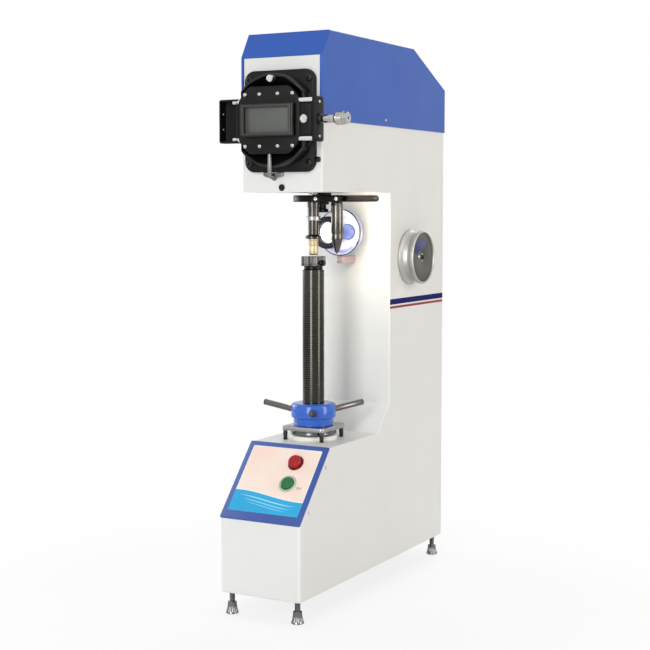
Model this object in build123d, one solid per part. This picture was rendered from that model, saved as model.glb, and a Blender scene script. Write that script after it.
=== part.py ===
"""Bench Vickers hardness tester, built as separate closed solids in one frame.

Millimetres, +Z up. The origin lies on the bench right below the test axis, the operator stands on the -Y side and
the load dial is on the +X side. Each piece has its own function, and each is written to one STEP file of its name.
"""

import os
from math import atan2, cos, degrees, hypot, radians, sin

from build123d import *

# Fits
RUNNING = 0.05  # radial clearance of a shaft in its bearing
SLIP = 0.2  # gap between faces that move past each other
EASE = 0.3  # gap between a part and the hole it passes without touching

# Cabinet
WIDTH = 145.0
WALL = 6.0
FOOT_HEIGHT = 36.0
BASE_HEIGHT = 227.5
BASE_FRONT = 173.0  # test axis to front of base
BACK = 358.0  # test axis to back
PANEL_RISE = 108.5
PANEL_RUN = 97.8
THROAT = 137.4  # test axis to column
GUSSET = 45.4
THROAT_HEIGHT = 404.5
HEAD_FRONT = 101.0
HEAD_SIDE_HEIGHT = 132.0
HEAD_TAB_HEIGHT = 210.0  # front wall of the head, up behind the screen
HEAD_TAB_WIDTH = 137.0
CORNER = 5.0
EDGE = 2.0
BASE_PLATE = 8.0

# Openings at the back and their cover
REAR_OPENING_WIDTH = 120.0
REAR_OPENING_SILL = 24.0  # above the base's bottom
REAR_OPENING_HEADER = 40.0  # below the top of the sides
COVER_LAP = 8.0
COVER_SHEET = 2.0
LOUVRE_WIDTH = 70.0
LOUVRE_SLOT = 3.0
LOUVRE_PITCH = 8.0
LOUVRE_COUNT = 7
LOUVRE_INSET = 60.0  # from the ends of the opening to the first louvre of each group

# Power inlet
INLET_X = 32.0
INLET_RISE = 28.0  # above the sill of the rear opening
INLET_WIDTH = 27.0
INLET_HEIGHT = 20.0
INLET_DEPTH = 18.0
INLET_RIM = 5.0
INLET_PIN = 4.0

# Hood
HOOD_SHEET = 1.5
HOOD_HEIGHT = 138.8
HOOD_LAP = 21.0  # how far the hood reaches down over the head's sides
HOOD_SLOPE_RISE = 37.8
HOOD_SLOPE_RUN = 22.7
HOOD_REAR_RUN = 133.7
HOOD_REAR_DROP = 62.0
HOOD_STRIP = 5.0

# Feet
FOOT_X = 60.0
FOOT_FRONT = 158.0
FOOT_REAR = 344.0
FOOT_RADIUS = 10.0
FOOT_NECK = 7.0
FOOT_BELL = 19.0
FOOT_STUD = 4.5
FOOT_STUD_REACH = 6.0
FOOT_STEPS = ((1.0, 0.12), (0.72, 0.32), (0.32, 0.66), (0.0, 1.0))  # flare and height of the bell, as fractions

# Control panel and push buttons
PANEL_THICK = 3.0
PANEL_MARGIN = 1.5
BUTTON_RADIUS = 11.0
BUTTON_X = 24.5
RED_UP = 111.0
GREEN_UP = 72.0
RED_HEIGHT = 12.0
GREEN_HEIGHT = 6.0
BUTTON_TRAVEL = 3.0
SWITCH_RADIUS = 13.5
SWITCH_RIM = 2.0
SWITCH_BARREL = 9.0
SWITCH_BLOCK = 30.0
SWITCH_BLOCK_DEPTH = 22.0

# Elevating screw and what carries it
SCREW_RADIUS = 18.0
SCREW_TRAVEL = 200.0
SCREW_TAIL = 17.5  # screw below the base top when it is fully raised
NOSE_RADIUS = 15.5
NOSE_HEIGHT = 6.5
KEY_WIDTH = 6.0
KEYWAY_DEPTH = 4.0
BUSH_RADIUS = 24.0
BUSH_FLANGE = 30.0
BUSH_FLANGE_THICK = 5.5
BUSH_LENGTH = 19.5
JACK_STUD = 3.5
JACK_STUD_HEIGHT = 15.5
JACK_SPREAD = 34.0
THRUST_SIDE = 78.0
THRUST_THICK = 7.0
BEARING_RADIUS = 38.0
BEARING_HEIGHT = 8.5

# Handwheel
HUB_LOW_RADIUS = 33.0
HUB_LOW_HEIGHT = 13.0
HUB_RADIUS = 37.0
HUB_HEIGHT = 36.7
SPOKE_RADIUS = 5.0
SPOKE_REACH = 95.0
SPOKE_ROOT = 27.0
SPOKE_ROOT_HEIGHT = 21.0
SPOKE_TILT = 8.7
SPOKE_TURN = 28.8
SPOKE_COUNT = 3

# Anvil
ANVIL_SIDE = 30.0
ANVIL_HEIGHT = 16.1
TEST_GAP = 3.0  # anvil to objective when the screw is fully raised
SPIGOT_RADIUS = 8.0
SPIGOT_LENGTH = 18.0
CLAMP_RADIUS = 4.7
CLAMP_HEAD = 6.0

# Turret
STATION = 28.6  # turret axis to each station, and to the test axis
TURRET_RADIUS = 47.0
TURRET_THICK = 11.0
TURRET_GAP = 4.1
PIVOT_RADIUS = 8.0
PIVOT_COLLAR = 16.0
PIVOT_WASHER = 12.3
PIVOT_STEM = 7.5
PIVOT_DROP = 17.2
PIVOT_NUT = 6.0
HANDLE_RADIUS = 5.5
HANDLE_LENGTH = 57.7
HANDLE_SPIGOT = 3.0
HANDLE_SPIGOT_LENGTH = 8.0
OBJECTIVE_RADIUS = 10.0
OBJECTIVE_FLARE = 13.4
OBJECTIVE_LENGTH = 59.9
FLARE_HEIGHT = 6.5
KNURL_RADIUS = 12.0
KNURL_LOW = 22.9
KNURL_HEIGHT = 7.6
LIGHT_BORE = 5.0
OBJECTIVE_NOSE = 8.0
OBJECTIVE_NOSE_RIM = 9.8
OBJECTIVE_NOSE_LENGTH = 25.5
OBJECTIVE_RIM_HEIGHT = 2.5
INDENTER_RADIUS = 9.9
INDENTER_LENGTH = 61.7
INDENTER_STEM = 5.0
INDENTER_CONE = 23.5
INDENTER_CONE_TIP = 4.0
DIAMOND_HEIGHT = 3.5
INDENTER_STROKE = 1.0

# Loading mechanism in the head and column
FULCRUM = 15.26  # pivot in front of the test axis
LEVER_RATIO = 20.0
PIVOT_HEIGHT = 37.0  # above the head's bottom face
LEVER_DEPTH = 24.0
LEVER_DROP = 5.0
LEVER_WIDTH = 14.0
FORK_INNER = 8.0
FORK_OUTER = 14.0
FORK_END = 40.0
LEVER_PIN = 4.0
FULCRUM_EAR = 8.0
SPINDLE_RADIUS = 8.0
SPINDLE_BORE = 4.0
SPINDLE_FLANGE = 13.0
SPINDLE_FLANGE_THICK = 5.0
SPINDLE_RIDGE = 2.0
SPINDLE_GAP = 1.1
HANGER_PIN = 3.0
HANGER_CHEEK = 4.0
HANGER_ROD = 4.0
HANGER_DISC = 22.0
HANGER_DISC_THICK = 6.0
HANGER_LENGTH = 375.0
HANGER_EYE = 8.0
WEIGHT_RADIUS = 30.0
WEIGHT_THICKNESSES = (14.0, 14.0, 24.0, 30.0, 40.0)
DASHPOT_Y = 178.0
DASHPOT_RADIUS = 18.0
DASHPOT_BORE = 15.0
DASHPOT_LENGTH = 70.0
DASHPOT_BELOW_LEVER = 18.0
PLUNGER_RADIUS = 13.0
PLUNGER_ROD = 3.0
LIFT_GAP = 20.94  # between lift rod and weights
LIFT_ROD = 4.0
LIFT_GUIDE = 9.0
LIFT_GUIDE_HEIGHT = 46.0
MOTOR_SIDE = 60.0
MOTOR_HEIGHT = 60.0

# Lamp
LAMP_DROP = 66.0  # below the head
LAMP_FLANGE = 20.0
LAMP_FLANGE_THICK = 4.0
LAMP_BODY = 14.0
LAMP_BODY_LENGTH = 15.4
LAMP_TUBE = 12.0
LAMP_RING = 27.0
LAMP_RING_FRONT = 43.5
LAMP_RING_DEPTH = 14.5
LENS_RADIUS = 17.5
LENS_RECESS = 10.0
LENS_THICK = 3.0
DISH_RADIUS = 40.0
DISH_DEPTH = 31.3
DISH_SHEET = 1.5
DISH_STEPS = ((0.0, 0.0), (0.4, 0.12), (0.7, 0.36), (0.88, 0.66), (1.0, 1.0))  # width and depth, as fractions
BRACKET_WIDTH = 18.0
BRACKET_HEIGHT = 13.8
BRACKET_REACH = 57.4

# Optical tube inside the head
TUBE_RADIUS = 20.0
TUBE_FLANGE = 30.0
TUBE_FLANGE_THICK = 5.0
PRISM_SIDE = 44.0
PRISM_DROP = 20.0

# Screen unit, with depths counted forward from the head's front face
SCREEN_RISE = 110.0  # above the head's bottom face
PLATE_HALF_WIDTH = 63.0
PLATE_HALF_HEIGHT = 79.0
PLATE_THICK = 8.0
PLATE_CORNER = 17.0
RING_RADIUS = 80.5
RING_THICK = 5.0
DRUM_RADIUS = 72.0
DRUM_THICK = 20.0
DRUM_FLAT = 55.0
FACE_RADIUS = 62.0
FACE_HALF_HEIGHT = 52.0
FACE_THICK = 7.0
CAVITY_HALF_WIDTH = 48.0
CAVITY_HALF_HEIGHT = 24.0
DRUM_BACK = 7.0
FRAME_HALF_WIDTH = 47.0
FRAME_HALF_HEIGHT = 25.5
FRAME_THICK = 8.0
WINDOW_HALF_WIDTH = 40.5
WINDOW_HALF_HEIGHT = 21.0
GLASS_LAP = 2.0
GLASS_THICK = 3.0
RAIL_RADIUS = 4.0
RAIL_SPREAD = 28.8
RAIL_BACK = 4.0
RAIL_LEFT = 66.0
RAIL_RIGHT = 77.0
TRAY_WIDTH = 36.5
TRAY_FRONT = 40.0
TRAY_DEPTH = 20.0
TRAY_HALF_HEIGHT = 34.0
TRAY_WALL = 3.0
SHUTTER_WIDTH = 21.0
SHUTTER_DEPTH = 24.0
SHUTTER_HALF_HEIGHT = 24.0
TURN_ROD = 3.2
TURN_ROD_REACH = 82.3
CLAMP_KNOB_X = 5.0
CLAMP_KNOB_UP = 63.0
CLAMP_KNOB_RADIUS = 7.0
CLAMP_KNOB_HEIGHT = 10.0
SHUTTER_KNOB_RADIUS = 6.5
SHUTTER_KNOB_HEIGHT = 8.0
KNOB_SHAFT = 2.5
KNOB_SHAFT_LENGTH = 6.0

# Micrometer on the shutter box
MICROMETER_DEPTH = 28.0
BOSS_RADIUS = 9.0
BOSS_LENGTH = 6.0
STEM_RADIUS = 3.6
STEM_LENGTH = 11.0
SLEEVE_RADIUS = 9.0
SLEEVE_LENGTH = 23.0
SLEEVE_SHOWN = 18.6
THIMBLE_RADIUS = 10.4
THIMBLE_LENGTH = 13.7
THIMBLE_CAP = 7.5
SPINDLE_WIRE = 2.0
SHUTTER_TRAVEL = 5.0
BLADE_THICK = 2.0
BLADE_WIDTH = 6.0

# Load dial on the right side
DIAL_Y = 214.0
DIAL_DROP = 110.5  # below the head
DIAL_RADIUS = 47.5
DIAL_WAIST = 42.0
DIAL_FLANGE = 15.5
DIAL_KNOB = 9.5
DIAL_KNOB_RADIUS = 46.0
DIAL_FACE = 3.0
DIAL_FACE_RADIUS = 45.0
DIAL_HOLE = 4.0
DIAL_SHAFT = 6.0
CAM_RADIUS = 20.0
CAM_OFFSET = 6.0
CAM_THICK = 8.0
CAM_X = 12.0

# Places that follow from the sizes
HALF = WIDTH / 2
INNER = HALF - WALL
BASE_TOP = FOOT_HEIGHT + BASE_HEIGHT
PANEL_FOOT = BASE_TOP - PANEL_RISE
HEAD_BOTTOM = BASE_TOP + THROAT_HEIGHT
HEAD_FLOOR = HEAD_BOTTOM + WALL
SIDE_TOP = HEAD_BOTTOM + HEAD_SIDE_HEIGHT
FLOOR_TOP = FOOT_HEIGHT + BASE_PLATE
OPENING_LOW = FOOT_HEIGHT + REAR_OPENING_SILL
OPENING_TOP = SIDE_TOP - REAR_OPENING_HEADER
INLET_Z = OPENING_LOW + INLET_RISE
LAMP_Z = HEAD_BOTTOM - LAMP_DROP
SCREEN_Z = HEAD_BOTTOM + SCREEN_RISE
DIAL_Z = HEAD_BOTTOM - DIAL_DROP
PANEL_LENGTH = hypot(PANEL_RISE, PANEL_RUN)
PANEL_SLOPE = atan2(PANEL_RISE, PANEL_RUN)
THRUST_LOW = BASE_TOP + JACK_STUD_HEIGHT
HUB_LOW = THRUST_LOW + THRUST_THICK
SCREW_LOW = BASE_TOP - SCREW_TAIL
TURRET_TOP = HEAD_BOTTOM - TURRET_GAP
TURRET_LOW = TURRET_TOP - TURRET_THICK
ANVIL_TOP = TURRET_LOW - OBJECTIVE_LENGTH - OBJECTIVE_NOSE_LENGTH - TEST_GAP
ANVIL_LOW = ANVIL_TOP - ANVIL_HEIGHT
SCREW_TOP = ANVIL_LOW - NOSE_HEIGHT
PIVOT_Z = HEAD_BOTTOM + PIVOT_HEIGHT
LEVER_LOW = PIVOT_Z - LEVER_DROP
LEVER_TOP = LEVER_LOW + LEVER_DEPTH
HANGER_Y = FULCRUM * (LEVER_RATIO - 1)
LIFT_Y = HANGER_Y - WEIGHT_RADIUS - LIFT_GAP - LIFT_ROD
DISH_FRONT = THROAT - LAMP_FLANGE_THICK - LAMP_BODY_LENGTH + LAMP_FLANGE_THICK - DISH_DEPTH
DRUM_REAR = PLATE_THICK + RING_THICK
DRUM_FRONT = DRUM_REAR + DRUM_THICK
FACE_FRONT = DRUM_FRONT + FACE_THICK
FRAME_FRONT = FACE_FRONT + FRAME_THICK
SHUTTER_RIGHT = DRUM_FLAT + SHUTTER_WIDTH
SLEEVE_START = SHUTTER_RIGHT + BOSS_LENGTH + STEM_LENGTH
THIMBLE_START = SLEEVE_START + SLEEVE_SHOWN
THIMBLE_END = THIMBLE_START + THIMBLE_LENGTH + THIMBLE_CAP
DIAL_SPLIT = HALF + DIAL_FLANGE
DIAL_FRONT = DIAL_SPLIT + SLIP + DIAL_KNOB

# The plane of the body's sloped face: X across, Y up the slope, Z out towards the operator
PANEL = Plane(
    origin=(0, -BASE_FRONT, PANEL_FOOT),
    x_dir=(1, 0, 0),
    z_dir=(0, -sin(PANEL_SLOPE), cos(PANEL_SLOPE)),
)


# ---------------------------------------------------------------- shared shapes
def up(radius, low, high, x=0.0, y=0.0):
    """Cylinder about a vertical axis, from height low to height high."""
    centre = (Align.CENTER, Align.CENTER, Align.MIN)
    return Pos(x, y, low) * Cylinder(radius, high - low, align=centre)


def across(radius, left, right, y, z):
    """Cylinder about an axis along X, from x=left to x=right."""
    return Pos(0, y, z) * Rot(0, 90, 0) * up(radius, left, right)


def along(radius, front, back, x, z):
    """Cylinder about an axis along Y, from y=front to y=back."""
    return Pos(x, 0, z) * Rot(-90, 0, 0) * up(radius, front, back)


def block(left, right, front, back, low, high):
    """Box between two corners."""
    size = Box(right - left, back - front, high - low)
    return Pos((left + right) / 2, (front + back) / 2, (low + high) / 2) * size


def turned(points, x=0.0, y=0.0):
    """Solid of revolution about a vertical axis from (radius, height) points."""
    profile = make_face(Plane.XZ * Polyline(*points, close=True))
    return Pos(x, y, 0) * revolve(profile, Axis.Z)


def screen_disc(radius, rear, front, x=0.0, rise=0.0):
    """Cylinder in the screen unit, between two depths in front of the head."""
    return along(radius, -HEAD_FRONT - front, -HEAD_FRONT - rear, x, SCREEN_Z + rise)


def screen_block(left, right, rear, front, low, high):
    """Box in the screen unit, between two depths and two heights above its centre."""
    return block(left, right, -HEAD_FRONT - front, -HEAD_FRONT - rear, SCREEN_Z + low, SCREEN_Z + high)


def micrometer(radius, left, right):
    """Cylinder on the micrometer's axis."""
    return across(radius, left, right, -HEAD_FRONT - MICROMETER_DEPTH, SCREEN_Z)


# ---------------------------------------------------------------- cabinet
def body_outline(inset=0.0):
    """Side view of the C-shaped body in the YZ plane, made smaller by inset."""
    corners = (
        (-BASE_FRONT, FOOT_HEIGHT),
        (-BASE_FRONT, PANEL_FOOT),
        (-BASE_FRONT + PANEL_RUN, BASE_TOP),
        (THROAT - GUSSET, BASE_TOP),
        (THROAT, BASE_TOP + GUSSET),
        (THROAT, HEAD_BOTTOM),
        (-HEAD_FRONT, HEAD_BOTTOM),
        (-HEAD_FRONT, SIDE_TOP),
        (BACK, SIDE_TOP),
        (BACK, FOOT_HEIGHT),
    )
    outline = make_face(Plane.YZ * Polyline(*corners, close=True))
    if inset:
        outline = offset(outline, -inset, kind=Kind.INTERSECTION)
    return outline


def cabinet():
    """Hollow body with a front tab behind the screen unit, and its holes."""
    body = extrude(body_outline(), HALF, both=True)
    corners = body.edges().filter_by(Axis.Z).group_by(Axis.Y)[0]
    body = fillet(corners, CORNER)
    sides = [edge for edge in body.edges() if edge.bounding_box().size.X < SLIP and edge.center().Z < SIDE_TOP - 1]
    body = fillet([edge for edge in sides if edge.center().Y > -BASE_FRONT + CORNER], EDGE)
    tab_top = HEAD_BOTTOM + HEAD_TAB_HEIGHT
    body += block(-HEAD_TAB_WIDTH / 2, HEAD_TAB_WIDTH / 2, -HEAD_FRONT, -HEAD_FRONT + WALL, SIDE_TOP, tab_top)
    room = extrude(body_outline(WALL), INNER, both=True)
    room += block(-INNER, INNER, -HEAD_FRONT + WALL, BACK - WALL, SIDE_TOP - 2 * WALL, SIDE_TOP)
    room += block(-INNER, INNER, -BASE_FRONT + WALL, BACK - WALL, FOOT_HEIGHT, FOOT_HEIGHT + 2 * WALL)
    rear = REAR_OPENING_WIDTH / 2
    room += block(-rear, rear, BACK - 2 * WALL, BACK, OPENING_LOW, OPENING_TOP)
    body -= room
    body -= up(SCREW_RADIUS + EASE * 2, BASE_TOP - 2 * WALL, BASE_TOP)
    body -= up(SPINDLE_RADIUS + RUNNING, HEAD_BOTTOM, HEAD_FLOOR)
    body -= up(PIVOT_RADIUS, HEAD_BOTTOM, HEAD_FLOOR, 0, STATION)
    body -= along(TUBE_RADIUS, -HEAD_FRONT, -HEAD_FRONT + WALL, 0, SCREEN_Z)
    body -= across(DIAL_SHAFT + RUNNING, INNER, HALF, DIAL_Y, DIAL_Z)
    for rise in (RED_UP, GREEN_UP):
        body -= PANEL * Pos(BUTTON_X, rise, 0) * up(SWITCH_RADIUS, -2 * WALL, PANEL_THICK)
    return body


def hood():
    """Sheet cover over the head, open below and at the front."""
    low = SIDE_TOP - HOOD_LAP
    top = low + HOOD_HEIGHT
    front = -HEAD_FRONT - HOOD_SHEET
    back = BACK + HOOD_SHEET
    corners = (
        (front, low),
        (front, top - HOOD_SLOPE_RISE),
        (front + HOOD_SLOPE_RUN, top),
        (back - HOOD_REAR_RUN, top),
        (back, top - HOOD_REAR_DROP),
        (back, low),
    )
    outline = make_face(Plane.YZ * Polyline(*corners, close=True))
    half = HALF + HOOD_SHEET
    outer = extrude(outline, half, both=True)
    ridges = [edge for edge in outer.edges() if edge.bounding_box().size.X < 1 and edge.center().Z > low + 1]
    outer = fillet(ridges, EDGE)
    inner = extrude(offset(outline, -HOOD_SHEET, kind=Kind.INTERSECTION), HALF, both=True)
    inner += block(-HALF, HALF, front + HOOD_SHEET, back - HOOD_SHEET, low, low + 3 * HOOD_SHEET)
    window = half - HOOD_STRIP
    inner += block(-window, window, front, front + 2 * HOOD_SHEET, low, top - HOOD_SLOPE_RISE - HOOD_SHEET)
    return outer - inner


def louvre_cuts():
    """Slots of the rear cover, in a low and a high group."""
    cuts = []
    group = LOUVRE_COUNT * LOUVRE_PITCH
    for low in (OPENING_LOW + LOUVRE_INSET, OPENING_TOP - LOUVRE_INSET - group):
        for row in range(LOUVRE_COUNT):
            z = low + row * LOUVRE_PITCH
            cuts.append(block(-LOUVRE_WIDTH / 2, LOUVRE_WIDTH / 2, BACK, BACK + COVER_SHEET, z, z + LOUVRE_SLOT))
    return cuts


def rear_cover():
    """Flat sheet over the rear opening, with louvres and a cut for the inlet."""
    half = REAR_OPENING_WIDTH / 2 + COVER_LAP
    sheet = block(-half, half, BACK, BACK + COVER_SHEET, OPENING_LOW - COVER_LAP, OPENING_TOP + COVER_LAP)
    sheet = fillet(sheet.edges().filter_by(Axis.Y), COVER_LAP)
    cut = Pos(INLET_X, BACK, INLET_Z) * Box(INLET_WIDTH + 2, 4 * COVER_SHEET, INLET_HEIGHT + 2)
    return sheet - louvre_cuts() - cut


def power_inlet():
    """Appliance inlet in the rear cover: rimmed socket with three flat pins."""
    face = BACK + COVER_SHEET
    body = block(
        INLET_X - INLET_WIDTH / 2 - 1,
        INLET_X + INLET_WIDTH / 2 + 1,
        face - INLET_DEPTH,
        face,
        INLET_Z - INLET_HEIGHT / 2 - 1,
        INLET_Z + INLET_HEIGHT / 2 + 1,
    )
    body += block(
        INLET_X - INLET_WIDTH / 2 - INLET_RIM,
        INLET_X + INLET_WIDTH / 2 + INLET_RIM,
        face,
        face + COVER_SHEET,
        INLET_Z - INLET_HEIGHT / 2 - INLET_RIM,
        INLET_Z + INLET_HEIGHT / 2 + INLET_RIM,
    )
    socket = Pos(INLET_X, face - INLET_DEPTH / 2 + COVER_SHEET, INLET_Z) * Box(
        INLET_WIDTH - COVER_SHEET, INLET_DEPTH, INLET_HEIGHT - COVER_SHEET
    )
    top_corners = socket.edges().filter_by(Axis.Y).group_by(Axis.Z)[-1]
    body -= chamfer(top_corners, INLET_RIM)
    for side, rise in ((-1, -2), (0, 3), (1, -2)):
        pin = Box(COVER_SHEET, INLET_DEPTH - INLET_PIN, INLET_PIN)
        body += Pos(INLET_X + side * 2 * INLET_PIN, face - INLET_DEPTH / 2, INLET_Z + rise) * pin
    return body


def foot_places():
    """Names and places of the four levelling feet."""
    return {
        "foot_front_left": (-FOOT_X, -FOOT_FRONT),
        "foot_front_right": (FOOT_X, -FOOT_FRONT),
        "foot_rear_left": (-FOOT_X, FOOT_REAR),
        "foot_rear_right": (FOOT_X, FOOT_REAR),
    }


def base_plate():
    """Floor of the cabinet, tapped for the four feet."""
    plate = block(-INNER, INNER, -BASE_FRONT + WALL, BACK - WALL, FOOT_HEIGHT, FLOOR_TOP)
    for x, y in foot_places().values():
        plate -= up(FOOT_STUD + RUNNING, FOOT_HEIGHT, FLOOR_TOP, x, y)
    return plate


def foot(x, y):
    """Bell-shaped levelling foot on a stud that screws into the base plate."""
    flare = FOOT_RADIUS - FOOT_NECK
    bell = [(FOOT_NECK + flare * out, FOOT_BELL * high) for out, high in FOOT_STEPS]
    top = FLOOR_TOP + FOOT_STUD_REACH
    stud = [(FOOT_STUD, FOOT_BELL), (FOOT_STUD, top), (0, top), (0, 0)]
    profile = make_face(Plane.XZ * Polyline((FOOT_RADIUS, 0), *bell, *stud, close=True))
    return Pos(x, y, 0) * revolve(profile, Axis.Z)


# ---------------------------------------------------------------- control panel
def on_panel(rise):
    """Place on the body's sloped face, under the button that sits at this rise."""
    return PANEL * Pos(BUTTON_X, rise, 0)


def panel_plate():
    """Thick plate over the sloped face, bored for the two switches."""
    plate = Pos(0, PANEL_LENGTH / 2, PANEL_THICK / 2) * Box(WIDTH, PANEL_LENGTH - PANEL_MARGIN, PANEL_THICK)
    plate = chamfer(plate.edges().group_by(Axis.Z)[-1], PANEL_THICK / 4)
    for rise in (RED_UP, GREEN_UP):
        plate -= Pos(BUTTON_X, rise, 0) * up(SWITCH_RADIUS, 0, PANEL_THICK)
    return PANEL * plate


def button_switches():
    """Switch bodies: a rimmed barrel through the panel with a contact block behind."""
    inside = -WALL
    back = inside - SWITCH_BARREL
    bore = BUTTON_RADIUS + SLIP
    switches = []
    for rise in (RED_UP, GREEN_UP):
        switch = up(SWITCH_RADIUS, back, PANEL_THICK)
        switch += up(SWITCH_RADIUS + 1, PANEL_THICK, PANEL_THICK + SWITCH_RIM)
        contact = Pos(0, 0, inside - SWITCH_BLOCK_DEPTH / 2 - EASE)
        switch += contact * Box(SWITCH_BLOCK, SWITCH_BLOCK, SWITCH_BLOCK_DEPTH)
        switch -= up(bore, back + EASE, PANEL_THICK + SWITCH_RIM)
        switches.append(on_panel(rise) * switch)
    return Compound(children=switches)


def push_button(rise, height):
    """Round plunger that stands above the panel by its height."""
    bottom = -WALL - SWITCH_BARREL + BUTTON_TRAVEL + 2 * EASE
    top = PANEL_THICK + height
    plunger = up(BUTTON_RADIUS, bottom, top)
    plunger = fillet(plunger.edges().group_by(Axis.Z)[-1], EDGE)
    return on_panel(rise) * plunger


# ---------------------------------------------------------------- screw and handwheel
def screw_bush():
    """Guide bush under the base top, with the tooth that runs in the keyway."""
    inner_face = BASE_TOP - WALL
    bush = up(BUSH_FLANGE, inner_face - BUSH_FLANGE_THICK, inner_face)
    bush += up(BUSH_RADIUS, inner_face - BUSH_LENGTH, inner_face)
    bush -= up(SCREW_RADIUS + RUNNING, inner_face - BUSH_LENGTH, inner_face)
    tooth_root = SCREW_RADIUS - KEYWAY_DEPTH + 2 * EASE
    half = KEY_WIDTH / 2
    bush += block(-half, half, tooth_root, BUSH_RADIUS - 1, inner_face - BUSH_LENGTH, inner_face)
    return bush


def jack_studs():
    """Four studs that carry the thrust plate above the base."""
    studs = []
    for x in (-JACK_SPREAD, JACK_SPREAD):
        for y in (-JACK_SPREAD, JACK_SPREAD):
            studs.append(up(JACK_STUD, BASE_TOP, THRUST_LOW, x, y))
    return Compound(children=studs)


def thrust_plate():
    """Square plate that the handwheel hub turns on."""
    half = THRUST_SIDE / 2
    plate = block(-half, half, -half, half, THRUST_LOW, HUB_LOW)
    plate = fillet(plate.edges().filter_by(Axis.Z), CORNER)
    plate = chamfer(plate.edges().group_by(Axis.Z)[-1], 1)
    return plate - up(SCREW_RADIUS + EDGE, THRUST_LOW, HUB_LOW)


def bearing_housing():
    """Ring for the thrust bearing, under the thrust plate and between the studs."""
    low = THRUST_LOW - BEARING_HEIGHT
    ring = up(BEARING_RADIUS, low, THRUST_LOW)
    ring = chamfer(ring.edges().group_by(Axis.Z)[0], EDGE)
    return ring - up(SCREW_RADIUS + EDGE, low, THRUST_LOW)


def spoke_frame(index):
    """Frame at the root of one spoke, with its Z axis along the spoke."""
    turn = radians(SPOKE_TURN + index * 360 / SPOKE_COUNT)
    tilt = radians(SPOKE_TILT)
    return Plane(
        origin=(SPOKE_ROOT * sin(turn), -SPOKE_ROOT * cos(turn), HUB_LOW + SPOKE_ROOT_HEIGHT),
        z_dir=(sin(turn) * cos(tilt), -cos(turn) * cos(tilt), sin(tilt)),
    )


def handwheel_hub():
    """Stepped hub with the nut thread of the screw and sockets for the spokes."""
    step = HUB_LOW + HUB_LOW_HEIGHT
    top = HUB_LOW + HUB_HEIGHT
    hub = turned(
        (
            (SCREW_RADIUS + RUNNING, HUB_LOW),
            (HUB_LOW_RADIUS, HUB_LOW),
            (HUB_LOW_RADIUS, step),
            (HUB_RADIUS, step),
            (HUB_RADIUS, top - EDGE),
            (HUB_RADIUS - EDGE, top),
            (SCREW_RADIUS + RUNNING, top),
        )
    )
    for index in range(SPOKE_COUNT):
        hub -= spoke_frame(index) * up(SPOKE_RADIUS + RUNNING, 0, HUB_RADIUS)
    return hub


def handwheel_spokes():
    """Round spokes that slope up and out of the hub."""
    length = (SPOKE_REACH - SPOKE_ROOT) / cos(radians(SPOKE_TILT))
    spokes = []
    for index in range(SPOKE_COUNT):
        spoke = up(SPOKE_RADIUS, 0, length)
        spoke = chamfer(spoke.edges().group_by(Axis.Z)[-1], 1)
        spokes.append(spoke_frame(index) * spoke)
    return Compound(children=spokes)


def elevating_screw():
    """Screw with a turned nose, a bore for the anvil and a keyway at the back."""
    screw = up(SCREW_RADIUS, SCREW_LOW, SCREW_TOP) + up(NOSE_RADIUS, SCREW_TOP, ANVIL_LOW)
    screw -= up(SPIGOT_RADIUS + RUNNING, ANVIL_LOW - SPIGOT_LENGTH - EDGE, ANVIL_LOW)
    half = KEY_WIDTH / 2 + RUNNING
    floor = SCREW_RADIUS - KEYWAY_DEPTH
    key_top = BASE_TOP + SCREW_TRAVEL + EDGE
    return screw - block(-half, half, floor, SCREW_RADIUS + 1, SCREW_LOW, key_top)


def anvil():
    """Square anvil with a round spigot, tapped for its clamp screw."""
    half = ANVIL_SIDE / 2
    table = block(-half, half, -half, half, ANVIL_LOW, ANVIL_TOP)
    table = fillet(table.edges().filter_by(Axis.Z), EDGE)
    table = chamfer(table.edges().group_by(Axis.Z)[-1], 1)
    table += up(SPIGOT_RADIUS, ANVIL_LOW - SPIGOT_LENGTH, ANVIL_LOW)
    z = ANVIL_LOW + CLAMP_RADIUS + EASE
    return table - across(CLAMP_RADIUS / 2 + RUNNING, half - CLAMP_HEAD, half, 0, z)


def anvil_clamp_screw():
    """Knob-headed screw in the anvil's right side."""
    half = ANVIL_SIDE / 2
    z = ANVIL_LOW + CLAMP_RADIUS + EASE
    head = across(CLAMP_RADIUS, half, half + CLAMP_HEAD, 0, z)
    head = chamfer(head.edges().group_by(Axis.X)[-1], 1)
    return head + across(CLAMP_RADIUS / 2, half - CLAMP_HEAD, half, 0, z)


# ---------------------------------------------------------------- turret
def turret_spindle():
    """Fixed pivot of the turret, held in the head, with the nut below the disc."""
    low = TURRET_LOW - PIVOT_DROP
    top = HEAD_FLOOR + 2 * WALL
    pivot = up(PIVOT_STEM, low + PIVOT_NUT, TURRET_LOW - SLIP - EDGE, 0, STATION)
    pivot += up(PIVOT_WASHER, TURRET_LOW - SLIP - EDGE, TURRET_LOW - SLIP, 0, STATION)
    pivot += up(PIVOT_RADIUS, TURRET_LOW - SLIP, top, 0, STATION)
    pivot += up(PIVOT_COLLAR, TURRET_TOP + SLIP, HEAD_BOTTOM, 0, STATION)
    pivot += up(PIVOT_COLLAR - EDGE, HEAD_FLOOR, HEAD_FLOOR + WALL, 0, STATION)
    nut = Pos(0, STATION, low) * extrude(RegularPolygon(PIVOT_WASHER, 6), PIVOT_NUT)
    return pivot + nut


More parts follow.
